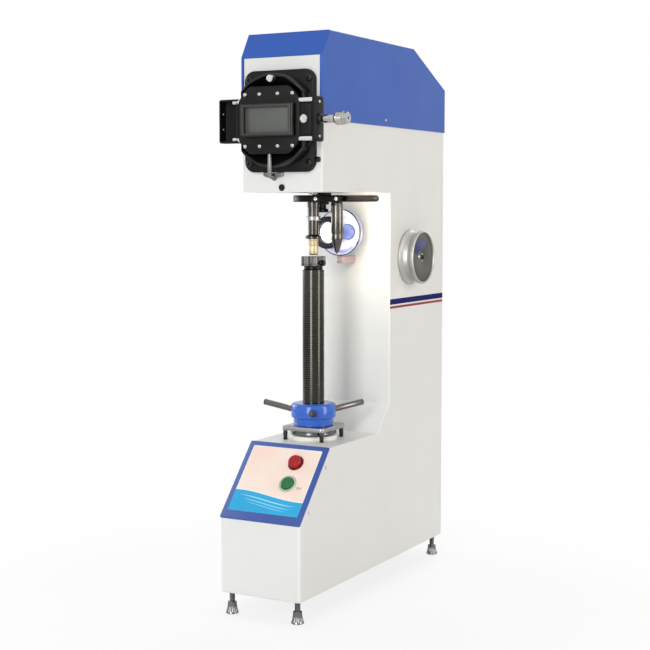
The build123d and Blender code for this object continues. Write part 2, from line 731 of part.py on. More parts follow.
def turret_disc():
    """Disc with the pivot bore, the indenter's bore, the light path and the handle's socket."""
    disc = up(TURRET_RADIUS, TURRET_LOW, TURRET_TOP, 0, STATION)
    disc = chamfer(disc.edges(), 1)
    disc -= up(PIVOT_RADIUS + RUNNING, TURRET_LOW, TURRET_TOP, 0, STATION)
    disc -= up(INDENTER_STEM + RUNNING, TURRET_LOW, TURRET_TOP, STATION, STATION)
    disc -= up(LIGHT_BORE, TURRET_LOW, TURRET_TOP)
    socket = TURRET_RADIUS - HANDLE_SPIGOT_LENGTH
    middle = (TURRET_LOW + TURRET_TOP) / 2
    return disc - across(HANDLE_SPIGOT + RUNNING, socket, TURRET_RADIUS, STATION, middle)


def turret_handle():
    """Round handle that is screwed into the rim of the turret disc."""
    middle = (TURRET_LOW + TURRET_TOP) / 2
    end = TURRET_RADIUS + HANDLE_LENGTH
    grip = across(HANDLE_RADIUS, TURRET_RADIUS, end, STATION, middle)
    grip = fillet(grip.edges().group_by(Axis.X)[-1], HANDLE_RADIUS - EDGE)
    return grip + across(HANDLE_SPIGOT, TURRET_RADIUS - HANDLE_SPIGOT_LENGTH, TURRET_RADIUS, STATION, middle)


def objective_barrel():
    """Tube of the objective, flared at the bottom, with a ring to grip it by."""
    low = TURRET_LOW - OBJECTIVE_LENGTH
    knurl = TURRET_LOW - KNURL_LOW - KNURL_HEIGHT
    return turned(
        (
            (LIGHT_BORE, low),
            (OBJECTIVE_FLARE, low),
            (OBJECTIVE_FLARE, low + FLARE_HEIGHT * 0.6),
            (OBJECTIVE_RADIUS, low + FLARE_HEIGHT),
            (OBJECTIVE_RADIUS, knurl),
            (KNURL_RADIUS, knurl),
            (KNURL_RADIUS, knurl + KNURL_HEIGHT),
            (OBJECTIVE_RADIUS, knurl + KNURL_HEIGHT),
            (OBJECTIVE_RADIUS, TURRET_LOW),
            (LIGHT_BORE, TURRET_LOW),
        )
    )


def objective_nose():
    """Lens mount under the barrel, with the front lens set back in it."""
    top = TURRET_LOW - OBJECTIVE_LENGTH
    low = top - OBJECTIVE_NOSE_LENGTH
    rim = top - OBJECTIVE_RIM_HEIGHT
    return turned(
        (
            (0, low + 1),
            (LIGHT_BORE, low),
            (OBJECTIVE_NOSE - EDGE, low),
            (OBJECTIVE_NOSE, low + EDGE),
            (OBJECTIVE_NOSE, rim),
            (OBJECTIVE_NOSE_RIM, rim),
            (OBJECTIVE_NOSE_RIM, top),
            (0, top),
        )
    )


def indenter_holder():
    """Polished holder of the diamond, with the stem that slides in the disc."""
    top = TURRET_LOW - SLIP
    low = TURRET_LOW - INDENTER_LENGTH
    holder = turned(
        (
            (0, low),
            (INDENTER_RADIUS, low),
            (INDENTER_RADIUS, top),
            (INDENTER_STEM, top),
            (INDENTER_STEM, TURRET_TOP - SLIP),
            (0, TURRET_TOP - SLIP),
        ),
        STATION,
        STATION,
    )
    return holder - up(INDENTER_STEM, low, low + INDENTER_STEM, STATION, STATION)


def diamond_indenter():
    """Cone with the diamond point, in the bottom of its holder."""
    top = TURRET_LOW - INDENTER_LENGTH
    low = top - INDENTER_CONE
    return turned(
        (
            (0, low),
            (INDENTER_CONE_TIP, low + DIAMOND_HEIGHT),
            (INDENTER_RADIUS, top),
            (INDENTER_STEM - RUNNING, top),
            (INDENTER_STEM - RUNNING, top + INDENTER_STEM - RUNNING),
            (0, top + INDENTER_STEM - RUNNING),
        ),
        STATION,
        STATION,
    )


# ---------------------------------------------------------------- loading mechanism
def fulcrum_block():
    """Two ears on a foot that hold the lever's pin in front of the test axis."""
    inner = FORK_OUTER + 1
    outer = inner + FULCRUM_EAR
    front = -FULCRUM - 2 * LEVER_PIN
    back = -FULCRUM + 2 * LEVER_PIN
    foot_back = -SPINDLE_RADIUS - EDGE
    holder = block(-outer, outer, front - WALL, foot_back, HEAD_FLOOR, HEAD_FLOOR + WALL)
    for left, right in ((-outer, -inner), (inner, outer)):
        holder += block(left, right, front, back, HEAD_FLOOR + WALL, PIVOT_Z + 2 * LEVER_PIN)
        holder += block(left, right, front, foot_back, HEAD_FLOOR, HEAD_FLOOR + WALL)
    return holder - across(LEVER_PIN + RUNNING, -outer, outer, -FULCRUM, PIVOT_Z)


def plunger():
    """Piston and rod that hang from the lever into the dashpot."""
    piston_top = LEVER_LOW - DASHPOT_BELOW_LEVER - 2 * EDGE
    rod = up(PLUNGER_ROD, piston_top, LEVER_LOW, 0, DASHPOT_Y)
    return rod + up(PLUNGER_RADIUS, piston_top - WALL, piston_top, 0, DASHPOT_Y)


def loading_lever():
    """Forked lever with its pin in front and the hanger's pin at the back."""
    front = -FULCRUM - LEVER_PIN - EDGE
    lever = block(-LEVER_WIDTH / 2, LEVER_WIDTH / 2, FORK_END, HANGER_Y + 2 * LEVER_PIN, LEVER_LOW, LEVER_TOP)
    lever += block(-FORK_OUTER, FORK_OUTER, FORK_END - LEVER_WIDTH, FORK_END + 1, LEVER_LOW, LEVER_TOP)
    for side in (-1, 1):
        middle = side * (FORK_INNER + FORK_OUTER) / 2
        half = (FORK_OUTER - FORK_INNER) / 2
        lever += block(middle - half, middle + half, front, FORK_END, LEVER_LOW, LEVER_TOP)
    reach = FORK_OUTER + 1 + FULCRUM_EAR
    lever += across(LEVER_PIN, -reach, reach, -FULCRUM, PIVOT_Z)
    hold = LEVER_WIDTH / 2 + SLIP + HANGER_CHEEK
    lever += across(HANGER_PIN, -hold, hold, HANGER_Y, PIVOT_Z + LEVER_DROP)
    return lever + plunger()


def loading_spindle():
    """Hollow spindle whose rounded cross ridge the lever's fork presses down."""
    low = TURRET_TOP + SPINDLE_GAP
    top = LEVER_LOW - SLIP - SPINDLE_RIDGE
    spindle = up(SPINDLE_RADIUS, low, top) + up(SPINDLE_FLANGE, top - SPINDLE_FLANGE_THICK, top)
    ridge_end = SPINDLE_FLANGE - EDGE
    spindle += across(SPINDLE_RIDGE, -ridge_end, ridge_end, 0, top)
    return spindle - up(SPINDLE_BORE, low, top + SPINDLE_RIDGE)


def weight_hanger():
    """Stirrup over the lever's end with a rod and a disc that carries the weights."""
    pin_z = PIVOT_Z + LEVER_DROP
    half = LEVER_WIDTH / 2 + SLIP
    bottom = LEVER_LOW - 2 * WALL
    front = HANGER_Y - HANGER_EYE
    back = HANGER_Y + HANGER_EYE
    hanger = block(-half - HANGER_CHEEK, half + HANGER_CHEEK, front, back, bottom, bottom + WALL)
    for left, right in ((-half - HANGER_CHEEK, -half), (half, half + HANGER_CHEEK)):
        hanger += block(left, right, front, back, bottom, pin_z + HANGER_EYE)
    hanger -= across(HANGER_PIN + RUNNING, -half - HANGER_CHEEK, half + HANGER_CHEEK, HANGER_Y, pin_z)
    low = bottom - HANGER_LENGTH
    hanger += up(HANGER_ROD, low, bottom, 0, HANGER_Y)
    return hanger + up(HANGER_DISC, low, low + HANGER_DISC_THICK, 0, HANGER_Y)


def weights():
    """Stack of load weights on the hanger's disc, smallest on top."""
    low = LEVER_LOW - 2 * WALL - HANGER_LENGTH + HANGER_DISC_THICK
    stack = []
    for thickness in reversed(WEIGHT_THICKNESSES):
        disc = up(WEIGHT_RADIUS, low, low + thickness, 0, HANGER_Y)
        stack.append(disc - up(HANGER_ROD + EASE, low, low + thickness, 0, HANGER_Y))
        low += thickness
    return Compound(children=stack)


def dashpot():
    """Open oil cup on a bracket behind the column's front wall."""
    top = LEVER_LOW - DASHPOT_BELOW_LEVER
    low = top - DASHPOT_LENGTH
    wall = THROAT + WALL
    cup = up(DASHPOT_RADIUS, low, top, 0, DASHPOT_Y)
    cup += block(-DASHPOT_BORE, DASHPOT_BORE, wall, DASHPOT_Y, low + WALL, low + DASHPOT_LENGTH / 2)
    return cup - up(DASHPOT_BORE, low + WALL, top, 0, DASHPOT_Y)


def lift_motor():
    """Geared motor on the base plate, with the guide of the lift rod on top."""
    half = MOTOR_SIDE / 2
    top = FLOOR_TOP + MOTOR_HEIGHT
    motor = block(-half, half, LIFT_Y - half, LIFT_Y + half, FLOOR_TOP, top)
    motor = chamfer(motor.edges().filter_by(Axis.Z), WALL)
    motor += up(LIFT_GUIDE, top, top + LIFT_GUIDE_HEIGHT, 0, LIFT_Y)
    return motor - up(LIFT_ROD + RUNNING, top + EDGE, top + LIFT_GUIDE_HEIGHT, 0, LIFT_Y)


def lift_rod():
    """Rod that lets the lever down, domed where it touches the lever."""
    low = FLOOR_TOP + MOTOR_HEIGHT + 8 * EDGE
    top = LEVER_LOW - SLIP
    rod = up(LIFT_ROD, low, top, 0, LIFT_Y)
    return fillet(rod.edges().group_by(Axis.Z)[-1], LIFT_ROD - 1)


def optical_tube():
    """Light tube from above the test axis, over a prism, to the screen."""
    wall = -HEAD_FRONT + WALL
    half = PRISM_SIDE / 2
    tube = along(TUBE_FLANGE, wall, wall + TUBE_FLANGE_THICK, 0, SCREEN_Z)
    tube += along(TUBE_RADIUS - RUNNING, -HEAD_FRONT, -half + 1, 0, SCREEN_Z)
    tube += block(-half, half, -half, half, SCREEN_Z - half, SCREEN_Z + half)
    tube += up(LAMP_BODY, SCREEN_Z - half - PRISM_DROP, SCREEN_Z - half + 1)
    return tube


# ---------------------------------------------------------------- lamp
def lamp_bracket():
    """Bar on the column that carries the reflector's edge."""
    top = LAMP_Z - DISH_RADIUS
    half = BRACKET_WIDTH / 2
    bar = block(-half, half, THROAT - BRACKET_REACH, THROAT, top - BRACKET_HEIGHT, top)
    return chamfer(bar.edges().group_by(Axis.Y)[0], 1)


def lamp_holder():
    """Flange on the column, stepped tube and the dark ring round the lens."""
    shoulder = THROAT - LAMP_BODY_LENGTH
    ring_back = LAMP_RING_FRONT + LAMP_RING_DEPTH
    seat = LAMP_RING_FRONT + LENS_RECESS + LENS_THICK
    holder = along(LAMP_FLANGE, THROAT - LAMP_FLANGE_THICK, THROAT, 0, LAMP_Z)
    holder += along(LAMP_BODY, shoulder, THROAT, 0, LAMP_Z)
    holder += along(LAMP_TUBE, LAMP_RING_FRONT + 1, shoulder, 0, LAMP_Z)
    holder += along(LAMP_RING, LAMP_RING_FRONT, ring_back, 0, LAMP_Z)
    return holder - along(LENS_RADIUS, LAMP_RING_FRONT, seat, 0, LAMP_Z)


def lamp_bulb():
    """Slightly domed lens at the bottom of the ring's recess."""
    seat = LAMP_RING_FRONT + LENS_RECESS + LENS_THICK
    lens = along(LENS_RADIUS - RUNNING, seat - LENS_THICK, seat, 0, LAMP_Z)
    return chamfer(lens.edges().group_by(Axis.Y)[0], 1)


def lamp_dish():
    """Reflector: a sheet bowl pressed in cone steps that opens towards the operator."""
    back = THROAT - LAMP_BODY_LENGTH
    hole = LAMP_TUBE + RUNNING
    neck = LAMP_TUBE + 2 * EDGE
    outer = [(neck + (DISH_RADIUS - neck) * out, back - DISH_DEPTH * deep) for out, deep in DISH_STEPS]
    slant = DISH_SHEET * 0.7
    inner = [(radius - slant, y - slant) for radius, y in outer[1:-1]]
    edge = [outer[-1], (DISH_RADIUS - DISH_SHEET, outer[-1][1])]
    root = [(neck, back - DISH_SHEET), (hole, back - DISH_SHEET), (hole, back)]
    profile = make_face(Plane.XY * Polyline(*outer[:-1], *edge, *reversed(inner), *root, close=True))
    return Pos(0, 0, LAMP_Z) * revolve(profile, Axis.Y)


# ---------------------------------------------------------------- screen unit
def screen_mount_plate():
    """Plate on the head's front, bored for the light."""
    plate = screen_block(
        -PLATE_HALF_WIDTH, PLATE_HALF_WIDTH, 0, PLATE_THICK, -PLATE_HALF_HEIGHT, PLATE_HALF_HEIGHT
    )
    plate = fillet(plate.edges().filter_by(Axis.Y), PLATE_CORNER)
    plate = chamfer(plate.edges().group_by(Axis.Y)[0], 1)
    return plate - screen_disc(TUBE_RADIUS, 0, PLATE_THICK)


def screen_base_ring():
    """Fixed ring that the drum turns against."""
    ring = screen_disc(RING_RADIUS, PLATE_THICK, DRUM_REAR - SLIP)
    return ring - screen_disc(TUBE_RADIUS, PLATE_THICK, DRUM_REAR)


def rails(clearance):
    """Both guide rods, made thicker by a clearance where they are cut out of a part."""
    depth = FACE_FRONT - RAIL_BACK
    rods = []
    for side in (-1, 1):
        radius = RAIL_RADIUS + clearance
        y = -HEAD_FRONT - depth
        rods.append(across(radius, -RAIL_LEFT, RAIL_RIGHT, y, SCREEN_Z + side * RAIL_SPREAD))
    return rods


def screen_drum():
    """Turning drum with flat sides and a raised face, hollow behind the glass."""
    drum = screen_disc(DRUM_RADIUS, DRUM_REAR, DRUM_FRONT)
    drum &= screen_block(-DRUM_FLAT, DRUM_FLAT, 0, DRUM_FRONT, -DRUM_RADIUS, DRUM_RADIUS)
    face = screen_disc(FACE_RADIUS, DRUM_FRONT, FACE_FRONT)
    face &= screen_block(-DRUM_FLAT, DRUM_FLAT, 0, FACE_FRONT, -FACE_HALF_HEIGHT, FACE_HALF_HEIGHT)
    face = chamfer(face.edges().group_by(Axis.Y)[0], 1)
    drum += face
    wide = CAVITY_HALF_WIDTH
    high = CAVITY_HALF_HEIGHT
    drum -= screen_block(-wide, wide, DRUM_REAR + DRUM_BACK, FACE_FRONT, -high, high)
    drum -= screen_disc(TUBE_RADIUS, DRUM_REAR, DRUM_FRONT)
    drum -= rails(RUNNING)
    drum -= micrometer(SPINDLE_WIRE + RUNNING, wide, DRUM_FLAT)
    return drum - screen_disc(KNOB_SHAFT + RUNNING, DRUM_FRONT - KNOB_SHAFT_LENGTH, DRUM_FRONT, CLAMP_KNOB_X, CLAMP_KNOB_UP)


def screen_frame():
    """Window frame in front of the drum, rebated for the glass."""
    wide = FRAME_HALF_WIDTH
    high = FRAME_HALF_HEIGHT
    frame = screen_block(-wide, wide, FACE_FRONT, FRAME_FRONT, -high, high)
    frame = chamfer(frame.edges().group_by(Axis.Y)[0], EDGE)
    wide = WINDOW_HALF_WIDTH
    high = WINDOW_HALF_HEIGHT
    frame -= screen_block(-wide, wide, FACE_FRONT, FRAME_FRONT, -high, high)
    wide += GLASS_LAP
    high += GLASS_LAP
    return frame - screen_block(-wide, wide, FACE_FRONT, FACE_FRONT + GLASS_THICK, -high, high)


def ground_glass():
    """Glass pane in the rebate of the window frame."""
    wide = WINDOW_HALF_WIDTH + GLASS_LAP
    high = WINDOW_HALF_HEIGHT + GLASS_LAP
    return screen_block(-wide, wide, FACE_FRONT, FACE_FRONT + GLASS_THICK, -high, high)


def turn_handle():
    """Short rod under the raised face that the drum is turned by."""
    y = -HEAD_FRONT - DRUM_FRONT - TURN_ROD - EASE
    top = SCREEN_Z - FACE_HALF_HEIGHT
    rod = up(TURN_ROD, SCREEN_Z - TURN_ROD_REACH, top, 0, y)
    return fillet(rod.edges().group_by(Axis.Z)[0], 1)


def left_tray():
    """Tray at the drum's left side, open to the front, carried by the guide rods."""
    left = -DRUM_FLAT - TRAY_WIDTH
    rear = TRAY_FRONT - TRAY_DEPTH
    high = TRAY_HALF_HEIGHT
    wall = TRAY_WALL
    tray = screen_block(left, -DRUM_FLAT, rear, TRAY_FRONT, -high, high)
    tray -= screen_block(left + wall, -DRUM_FLAT - wall, rear + wall, TRAY_FRONT, -high + wall, high - wall)
    return tray - rails(RUNNING)


def guide_rods():
    """Two rods across the drum that carry the tray."""
    return Compound(children=[chamfer(rod.edges(), 0.5) for rod in rails(0)])


def shutter_box():
    """Block at the drum's right side that houses the shutter's spindle."""
    high = SHUTTER_HALF_HEIGHT
    front = TRAY_FRONT
    box = screen_block(DRUM_FLAT, SHUTTER_RIGHT, front - SHUTTER_DEPTH, front, -high, high)
    box = chamfer(box.edges().group_by(Axis.Y)[0], 1)
    box -= micrometer(SPINDLE_WIRE + RUNNING, DRUM_FLAT, SHUTTER_RIGHT)
    middle = DRUM_FLAT + SHUTTER_WIDTH / 2
    return box - screen_disc(KNOB_SHAFT + RUNNING, front - KNOB_SHAFT_LENGTH, front, middle)


def round_knob(radius, height, rear, x, rise):
    """Round knob in front of a depth, on a shaft that enters the part behind it."""
    knob = screen_disc(radius, rear + SLIP, rear + height, x, rise)
    knob = chamfer(knob.edges().group_by(Axis.Y)[0], 1)
    return knob + screen_disc(KNOB_SHAFT, rear - KNOB_SHAFT_LENGTH + SLIP, rear + 1, x, rise)


def clamp_knob():
    """Knob that locks the drum to its ring."""
    return round_knob(CLAMP_KNOB_RADIUS, CLAMP_KNOB_HEIGHT, DRUM_FRONT, CLAMP_KNOB_X, CLAMP_KNOB_UP)


def shutter_knob():
    """Knob on the front of the shutter box."""
    middle = DRUM_FLAT + SHUTTER_WIDTH / 2
    return round_knob(SHUTTER_KNOB_RADIUS, SHUTTER_KNOB_HEIGHT, TRAY_FRONT, middle, 0)


def micrometer_sleeve():
    """Boss, slim stem and graduated sleeve on the side of the shutter box."""
    stem = SHUTTER_RIGHT + BOSS_LENGTH
    sleeve = micrometer(BOSS_RADIUS, SHUTTER_RIGHT, stem)
    sleeve += micrometer(STEM_RADIUS, stem, SLEEVE_START)
    sleeve += micrometer(SLEEVE_RADIUS, SLEEVE_START, SLEEVE_START + SLEEVE_LENGTH)
    return sleeve - micrometer(SPINDLE_WIRE + RUNNING, SHUTTER_RIGHT, SLEEVE_START + SLEEVE_LENGTH)


def measuring_shutter():
    """Blade behind the glass on the spindle that the thimble drives."""
    blade_right = CAVITY_HALF_WIDTH - EDGE
    y = -HEAD_FRONT - MICROMETER_DEPTH
    high = CAVITY_HALF_HEIGHT - EDGE
    blade = block(blade_right - BLADE_WIDTH, blade_right, y - BLADE_THICK / 2, y + BLADE_THICK / 2,
                  SCREEN_Z - high, SCREEN_Z + high)
    return blade + micrometer(SPINDLE_WIRE, blade_right - 1, THIMBLE_END - EDGE)


def micrometer_thimble():
    """Thimble over the sleeve, with a smaller cap at its end."""
    room_end = SLEEVE_START + SLEEVE_LENGTH + SHUTTER_TRAVEL + 1
    thimble = micrometer(THIMBLE_RADIUS, THIMBLE_START, THIMBLE_START + THIMBLE_LENGTH)
    thimble += micrometer(SLEEVE_RADIUS, THIMBLE_START + THIMBLE_LENGTH - 1, THIMBLE_END)
    thimble = chamfer(thimble.edges().group_by(Axis.X)[-1], 1)
    thimble -= micrometer(SLEEVE_RADIUS + RUNNING, THIMBLE_START, room_end)
    return thimble - micrometer(SPINDLE_WIRE + RUNNING, room_end, THIMBLE_END - EDGE + RUNNING)


# ---------------------------------------------------------------- load dial
def dial_round(points, arc):
    """Solid turned about the dial's axis from (x, radius) points joined by one arc."""
    line = Polyline(*points)
    profile = make_face(Plane.XY * (line + ThreePointArc(points[-1], arc, points[0])))
    return Pos(0, DIAL_Y, DIAL_Z) * revolve(profile, Axis.X)


def selector_flange():
    """Fixed flange of the dial with a waisted rim."""
    rim = HALF + DIAL_FLANGE / 4
    bore = DIAL_SHAFT + RUNNING
    return dial_round(
        ((DIAL_SPLIT, DIAL_WAIST), (DIAL_SPLIT, bore), (HALF, bore), (HALF, DIAL_RADIUS), (rim, DIAL_RADIUS)),
        ((rim + DIAL_SPLIT) / 2, (DIAL_RADIUS + DIAL_WAIST) / 2 - 1),
    )


def selector_knob():
    """Turning part of the dial, with its shaft and the cam that picks the weights."""
    back = DIAL_SPLIT + SLIP
    rim = DIAL_FRONT - DIAL_KNOB / 3
    knob = dial_round(
        ((rim, DIAL_KNOB_RADIUS), (DIAL_FRONT, DIAL_KNOB_RADIUS), (DIAL_FRONT, 0), (back, 0), (back, DIAL_WAIST)),
        ((back + rim) / 2, (DIAL_KNOB_RADIUS + DIAL_WAIST) / 2 - 0.5),
    )
    knob += across(DIAL_SHAFT, CAM_X, back + 1, DIAL_Y, DIAL_Z)
    return knob + across(CAM_RADIUS, CAM_X, CAM_X + CAM_THICK, DIAL_Y, DIAL_Z + CAM_OFFSET)


def selector_face():
    """Dark plate on the front of the dial."""
    front = DIAL_FRONT + DIAL_FACE
    face = across(DIAL_FACE_RADIUS, DIAL_FRONT, front, DIAL_Y, DIAL_Z)
    face = chamfer(face.edges().group_by(Axis.X)[-1], 1)
    return face - across(DIAL_HOLE, DIAL_FRONT, front, DIAL_Y, DIAL_Z)


# ---------------------------------------------------------------- output
def pieces():
    """Every piece of the tester by name."""
    made = {
        "cabinet": cabinet(),
        "hood": hood(),
        "rear_cover": rear_cover(),
        "base_plate": base_plate(),
        "power_inlet": power_inlet(),
        "panel_plate": panel_plate(),
        "button_switches": button_switches(),
        "red_button": push_button(RED_UP, RED_HEIGHT),
        "green_button": push_button(GREEN_UP, GREEN_HEIGHT),
        "screw_bush": screw_bush(),
        "jack_studs": jack_studs(),
        "thrust_plate": thrust_plate(),
        "bearing_housing": bearing_housing(),
        "handwheel_hub": handwheel_hub(),
        "handwheel_spokes": handwheel_spokes(),
        "elevating_screw": elevating_screw(),
        "anvil": anvil(),
        "anvil_clamp_screw": anvil_clamp_screw(),
        "turret_spindle": turret_spindle(),
        "turret_disc": turret_disc(),
        "turret_handle": turret_handle(),
        "objective_barrel": objective_barrel(),
        "objective_nose": objective_nose(),
        "indenter_holder": indenter_holder(),
        "diamond_indenter": diamond_indenter(),
        "fulcrum_block": fulcrum_block(),
        "loading_lever": loading_lever(),
        "loading_spindle": loading_spindle(),
        "weight_hanger": weight_hanger(),
        "weights": weights(),
        "dashpot": dashpot(),
        "lift_motor": lift_motor(),
        "lift_rod": lift_rod(),
        "optical_tube": optical_tube(),
        "lamp_bracket": lamp_bracket(),
        "lamp_holder": lamp_holder(),
        "lamp_lens": lamp_bulb(),
        "lamp_dish": lamp_dish(),
        "screen_mount_plate": screen_mount_plate(),
        "screen_base_ring": screen_base_ring(),
        "screen_drum": screen_drum(),
        "screen_frame": screen_frame(),
        "ground_glass": ground_glass(),
        "turn_handle": turn_handle(),
        "left_tray": left_tray(),
        "guide_rods": guide_rods(),
        "shutter_box": shutter_box(),
        "clamp_knob": clamp_knob(),
        "shutter_knob": shutter_knob(),
        "micrometer_sleeve": micrometer_sleeve(),
        "measuring_shutter": measuring_shutter(),
        "micrometer_thimble": micrometer_thimble(),
        "selector_flange": selector_flange(),
        "selector_knob": selector_knob(),
        "selector_face": selector_face(),
    }
    for name, (x, y) in foot_places().items():
        made[name] = foot(x, y)
    return made


def main():
    """Write every piece to its own STEP file."""
    os.makedirs("parts", exist_ok=True)
    for name, piece in pieces().items():
        export_step(piece, f"parts/{name}.step")


main()
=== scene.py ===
"""Dressed scene of a bench Vickers hardness tester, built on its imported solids.

Sizes are in millimetres, +Z is up, the origin lies on the bench below the test axis and the operator is on the -Y side.
Each sub-assembly is a class that models its visible pieces and gives every solid the finish of its real material.
"""

from __future__ import annotations

import logging
from dataclasses import dataclass
from enum import Enum
from math import atan2, ceil, cos, hypot, pi, radians, sin, sqrt
from typing import Any, Sequence

import bpy
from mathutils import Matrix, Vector


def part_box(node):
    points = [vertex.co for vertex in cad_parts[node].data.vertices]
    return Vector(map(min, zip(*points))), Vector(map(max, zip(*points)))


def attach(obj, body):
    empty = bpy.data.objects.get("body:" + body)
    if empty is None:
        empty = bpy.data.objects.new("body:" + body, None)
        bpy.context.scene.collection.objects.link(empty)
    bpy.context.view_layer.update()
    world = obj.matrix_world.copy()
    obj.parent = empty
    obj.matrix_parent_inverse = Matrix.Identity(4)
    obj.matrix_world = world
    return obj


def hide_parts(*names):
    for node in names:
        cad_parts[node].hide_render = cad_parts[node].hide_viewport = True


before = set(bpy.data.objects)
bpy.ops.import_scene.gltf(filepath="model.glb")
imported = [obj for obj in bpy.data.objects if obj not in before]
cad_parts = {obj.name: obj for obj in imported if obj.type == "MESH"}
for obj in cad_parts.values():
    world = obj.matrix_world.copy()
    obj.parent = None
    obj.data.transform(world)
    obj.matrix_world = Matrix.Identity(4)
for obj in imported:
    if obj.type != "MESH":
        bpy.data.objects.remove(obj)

LOG = logging.getLogger("tester")

Piece = bpy.types.Object
Tree = bpy.types.NodeTree
Socket = bpy.types.NodeSocket
Inputs = dict[str | int, Any]
Place = tuple[float, float, float]
Span = tuple[float, float]
Profile = Sequence[Span]

# one millimetre in the scene's metres
MM = 0.001
# points nearer than this in metres are one point
MERGE = 1e-6
AXIS_X, AXIS_Y, AXIS_Z = Vector((1, 0, 0)), Vector((0, 1, 0)), Vector((0, 0, 1))
# size of a font over the height of its capitals
CAPITALS = 1.4
# an upright outline laid on the tester's right side, its x running to the back
ON_THE_RIGHT = (pi / 2, 0.0, pi / 2)
# the turret's axis is as far behind the test axis as the indenter's station is beside it
TURRET_Y = 28.6
LAMP_Z = 602.0
DIAL_AXIS = (0.0, 214.0, 557.5)


class Facing(Enum):
    """The way a turned or raised piece faces, as the turn that takes +Z there."""

    UP = (0.0, 0.0, 0.0)
    RIGHT = (0.0, pi / 2, 0.0)
    LEFT = (0.0, -pi / 2, 0.0)
    FRONT = (pi / 2, 0.0, 0.0)
    BACK = (-pi / 2, 0.0, 0.0)


class Side(Enum):
    """Left or right side of the tester, seen by the operator."""

    LEFT = -1
    RIGHT = 1


# ---------------------------------------------------------------- modelling by hand
def drop_selection() -> None:
    """Leave edit mode and deselect everything."""
    if bpy.context.object and bpy.context.object.mode != "OBJECT":
        bpy.ops.object.mode_set(mode="OBJECT")
    bpy.ops.object.select_all(action="DESELECT")


def take(piece: Piece) -> None:
    """Make one piece the only selected and active object.

    Args:
        piece: The object to work on.
    """
    drop_selection()
    piece.select_set(True)
    bpy.context.view_layer.objects.active = piece


def open_up() -> None:
    """Enter edit mode with all of the active piece selected."""
    bpy.ops.object.mode_set(mode="EDIT")
    bpy.ops.mesh.select_all(action="SELECT")


def christen(piece: Piece, name: str) -> Piece:
    """Name a piece and its mesh.

    Args:
        piece: The piece to name.
        name: Its new name.

    Returns:
        The same piece.
    """
    piece.name = name
    piece.data.name = name
    return piece


def settle(piece: Piece, at: Place = (0, 0, 0), turn: Place = (0, 0, 0)) -> Piece:
    """Turn a piece, move it to its place and bring its origin back to the frame's origin.

    Args:
        piece: The piece, modelled about its own origin.
        at: Where that origin goes, in millimetres.
        turn: Turn about X, Y and Z in radians.

    Returns:
        The same piece.
    """
    take(piece)
    piece.rotation_euler = turn
    piece.location = Vector(at) * MM
    bpy.ops.object.transform_apply(location=True, rotation=True, scale=True)
    return piece


def modify(piece: Piece, kind: str, **settings: Any) -> Piece:
    """Add one modifier to a piece and apply it.

    Args:
        piece: The piece to change.
        kind: Blender's name for the modifier.
        settings: The modifier's own settings.

    Returns:
        The same piece.
    """
    take(piece)
    modifier = piece.modifiers.new(kind.title(), kind)
    for name, value in settings.items():
        setattr(modifier, name, value)
    bpy.ops.object.modifier_apply(modifier=modifier.name)
    return piece


def ease_edges(piece: Piece, width: float, segments: int = 2, angle: float = 30) -> Piece:
    """Round the sharp edges of a piece and shade it smooth.

    Args:
        piece: The piece to change.
        width: Width of the rounding in millimetres.
        segments: Facets across it.
        angle: Edges sharper than this many degrees are rounded.

    Returns:
        The same piece.
    """
    if width > 0:
        modify(piece, "BEVEL", width=width * MM, segments=segments, limit_method="ANGLE", angle_limit=radians(angle))
    return smooth(piece)


def smooth(piece: Piece, angle: float = 35) -> Piece:
    """Shade a piece smooth, except at its sharp edges.

    Args:
        piece: The piece to shade.
        angle: Edges sharper than this many degrees stay sharp.

    Returns:
        The same piece.
    """
    take(piece)
    bpy.ops.object.shade_smooth_by_angle(angle=radians(angle))
    return piece


def close_up(piece: Piece) -> None:
    """Merge a piece's double points and turn its faces outwards.

    Args:
        piece: The piece to close.
    """
    take(piece)
    open_up()
    bpy.ops.mesh.remove_doubles(threshold=MERGE)
    bpy.ops.mesh.normals_make_consistent(inside=False)
    bpy.ops.object.mode_set(mode="OBJECT")


def chain(name: str, points: Profile, closed: bool) -> Piece:
    """Draw a chain of edges in the XZ plane, point by point.

    Args:
        name: Name of the new object.
        points: (x, z) of each point in millimetres.
        closed: Whether the last point joins the first.

    Returns:
        The chain, with its origin at the frame's origin.
    """
    drop_selection()
    x, z = points[0]
    bpy.ops.mesh.primitive_plane_add(size=1e-4)
    line = christen(bpy.context.object, name)
    open_up()
    bpy.ops.mesh.merge(type="CENTER")
    bpy.ops.mesh.select_all(action="SELECT")
    bpy.ops.transform.translate(value=(x * MM, 0, z * MM))
    for (x0, z0), (x1, z1) in zip(points, points[1:]):
        step = ((x1 - x0) * MM, 0, (z1 - z0) * MM)
        bpy.ops.mesh.extrude_vertices_move(TRANSFORM_OT_translate={"value": step})
    if closed:
        bpy.ops.object.mode_set(mode="OBJECT")
        count = len(line.data.vertices)
        for index, vertex in enumerate(line.data.vertices):
            vertex.select = index in (0, count - 1)
        bpy.ops.object.mode_set(mode="EDIT")
        bpy.ops.mesh.edge_face_add()
    bpy.ops.object.mode_set(mode="OBJECT")
    return line


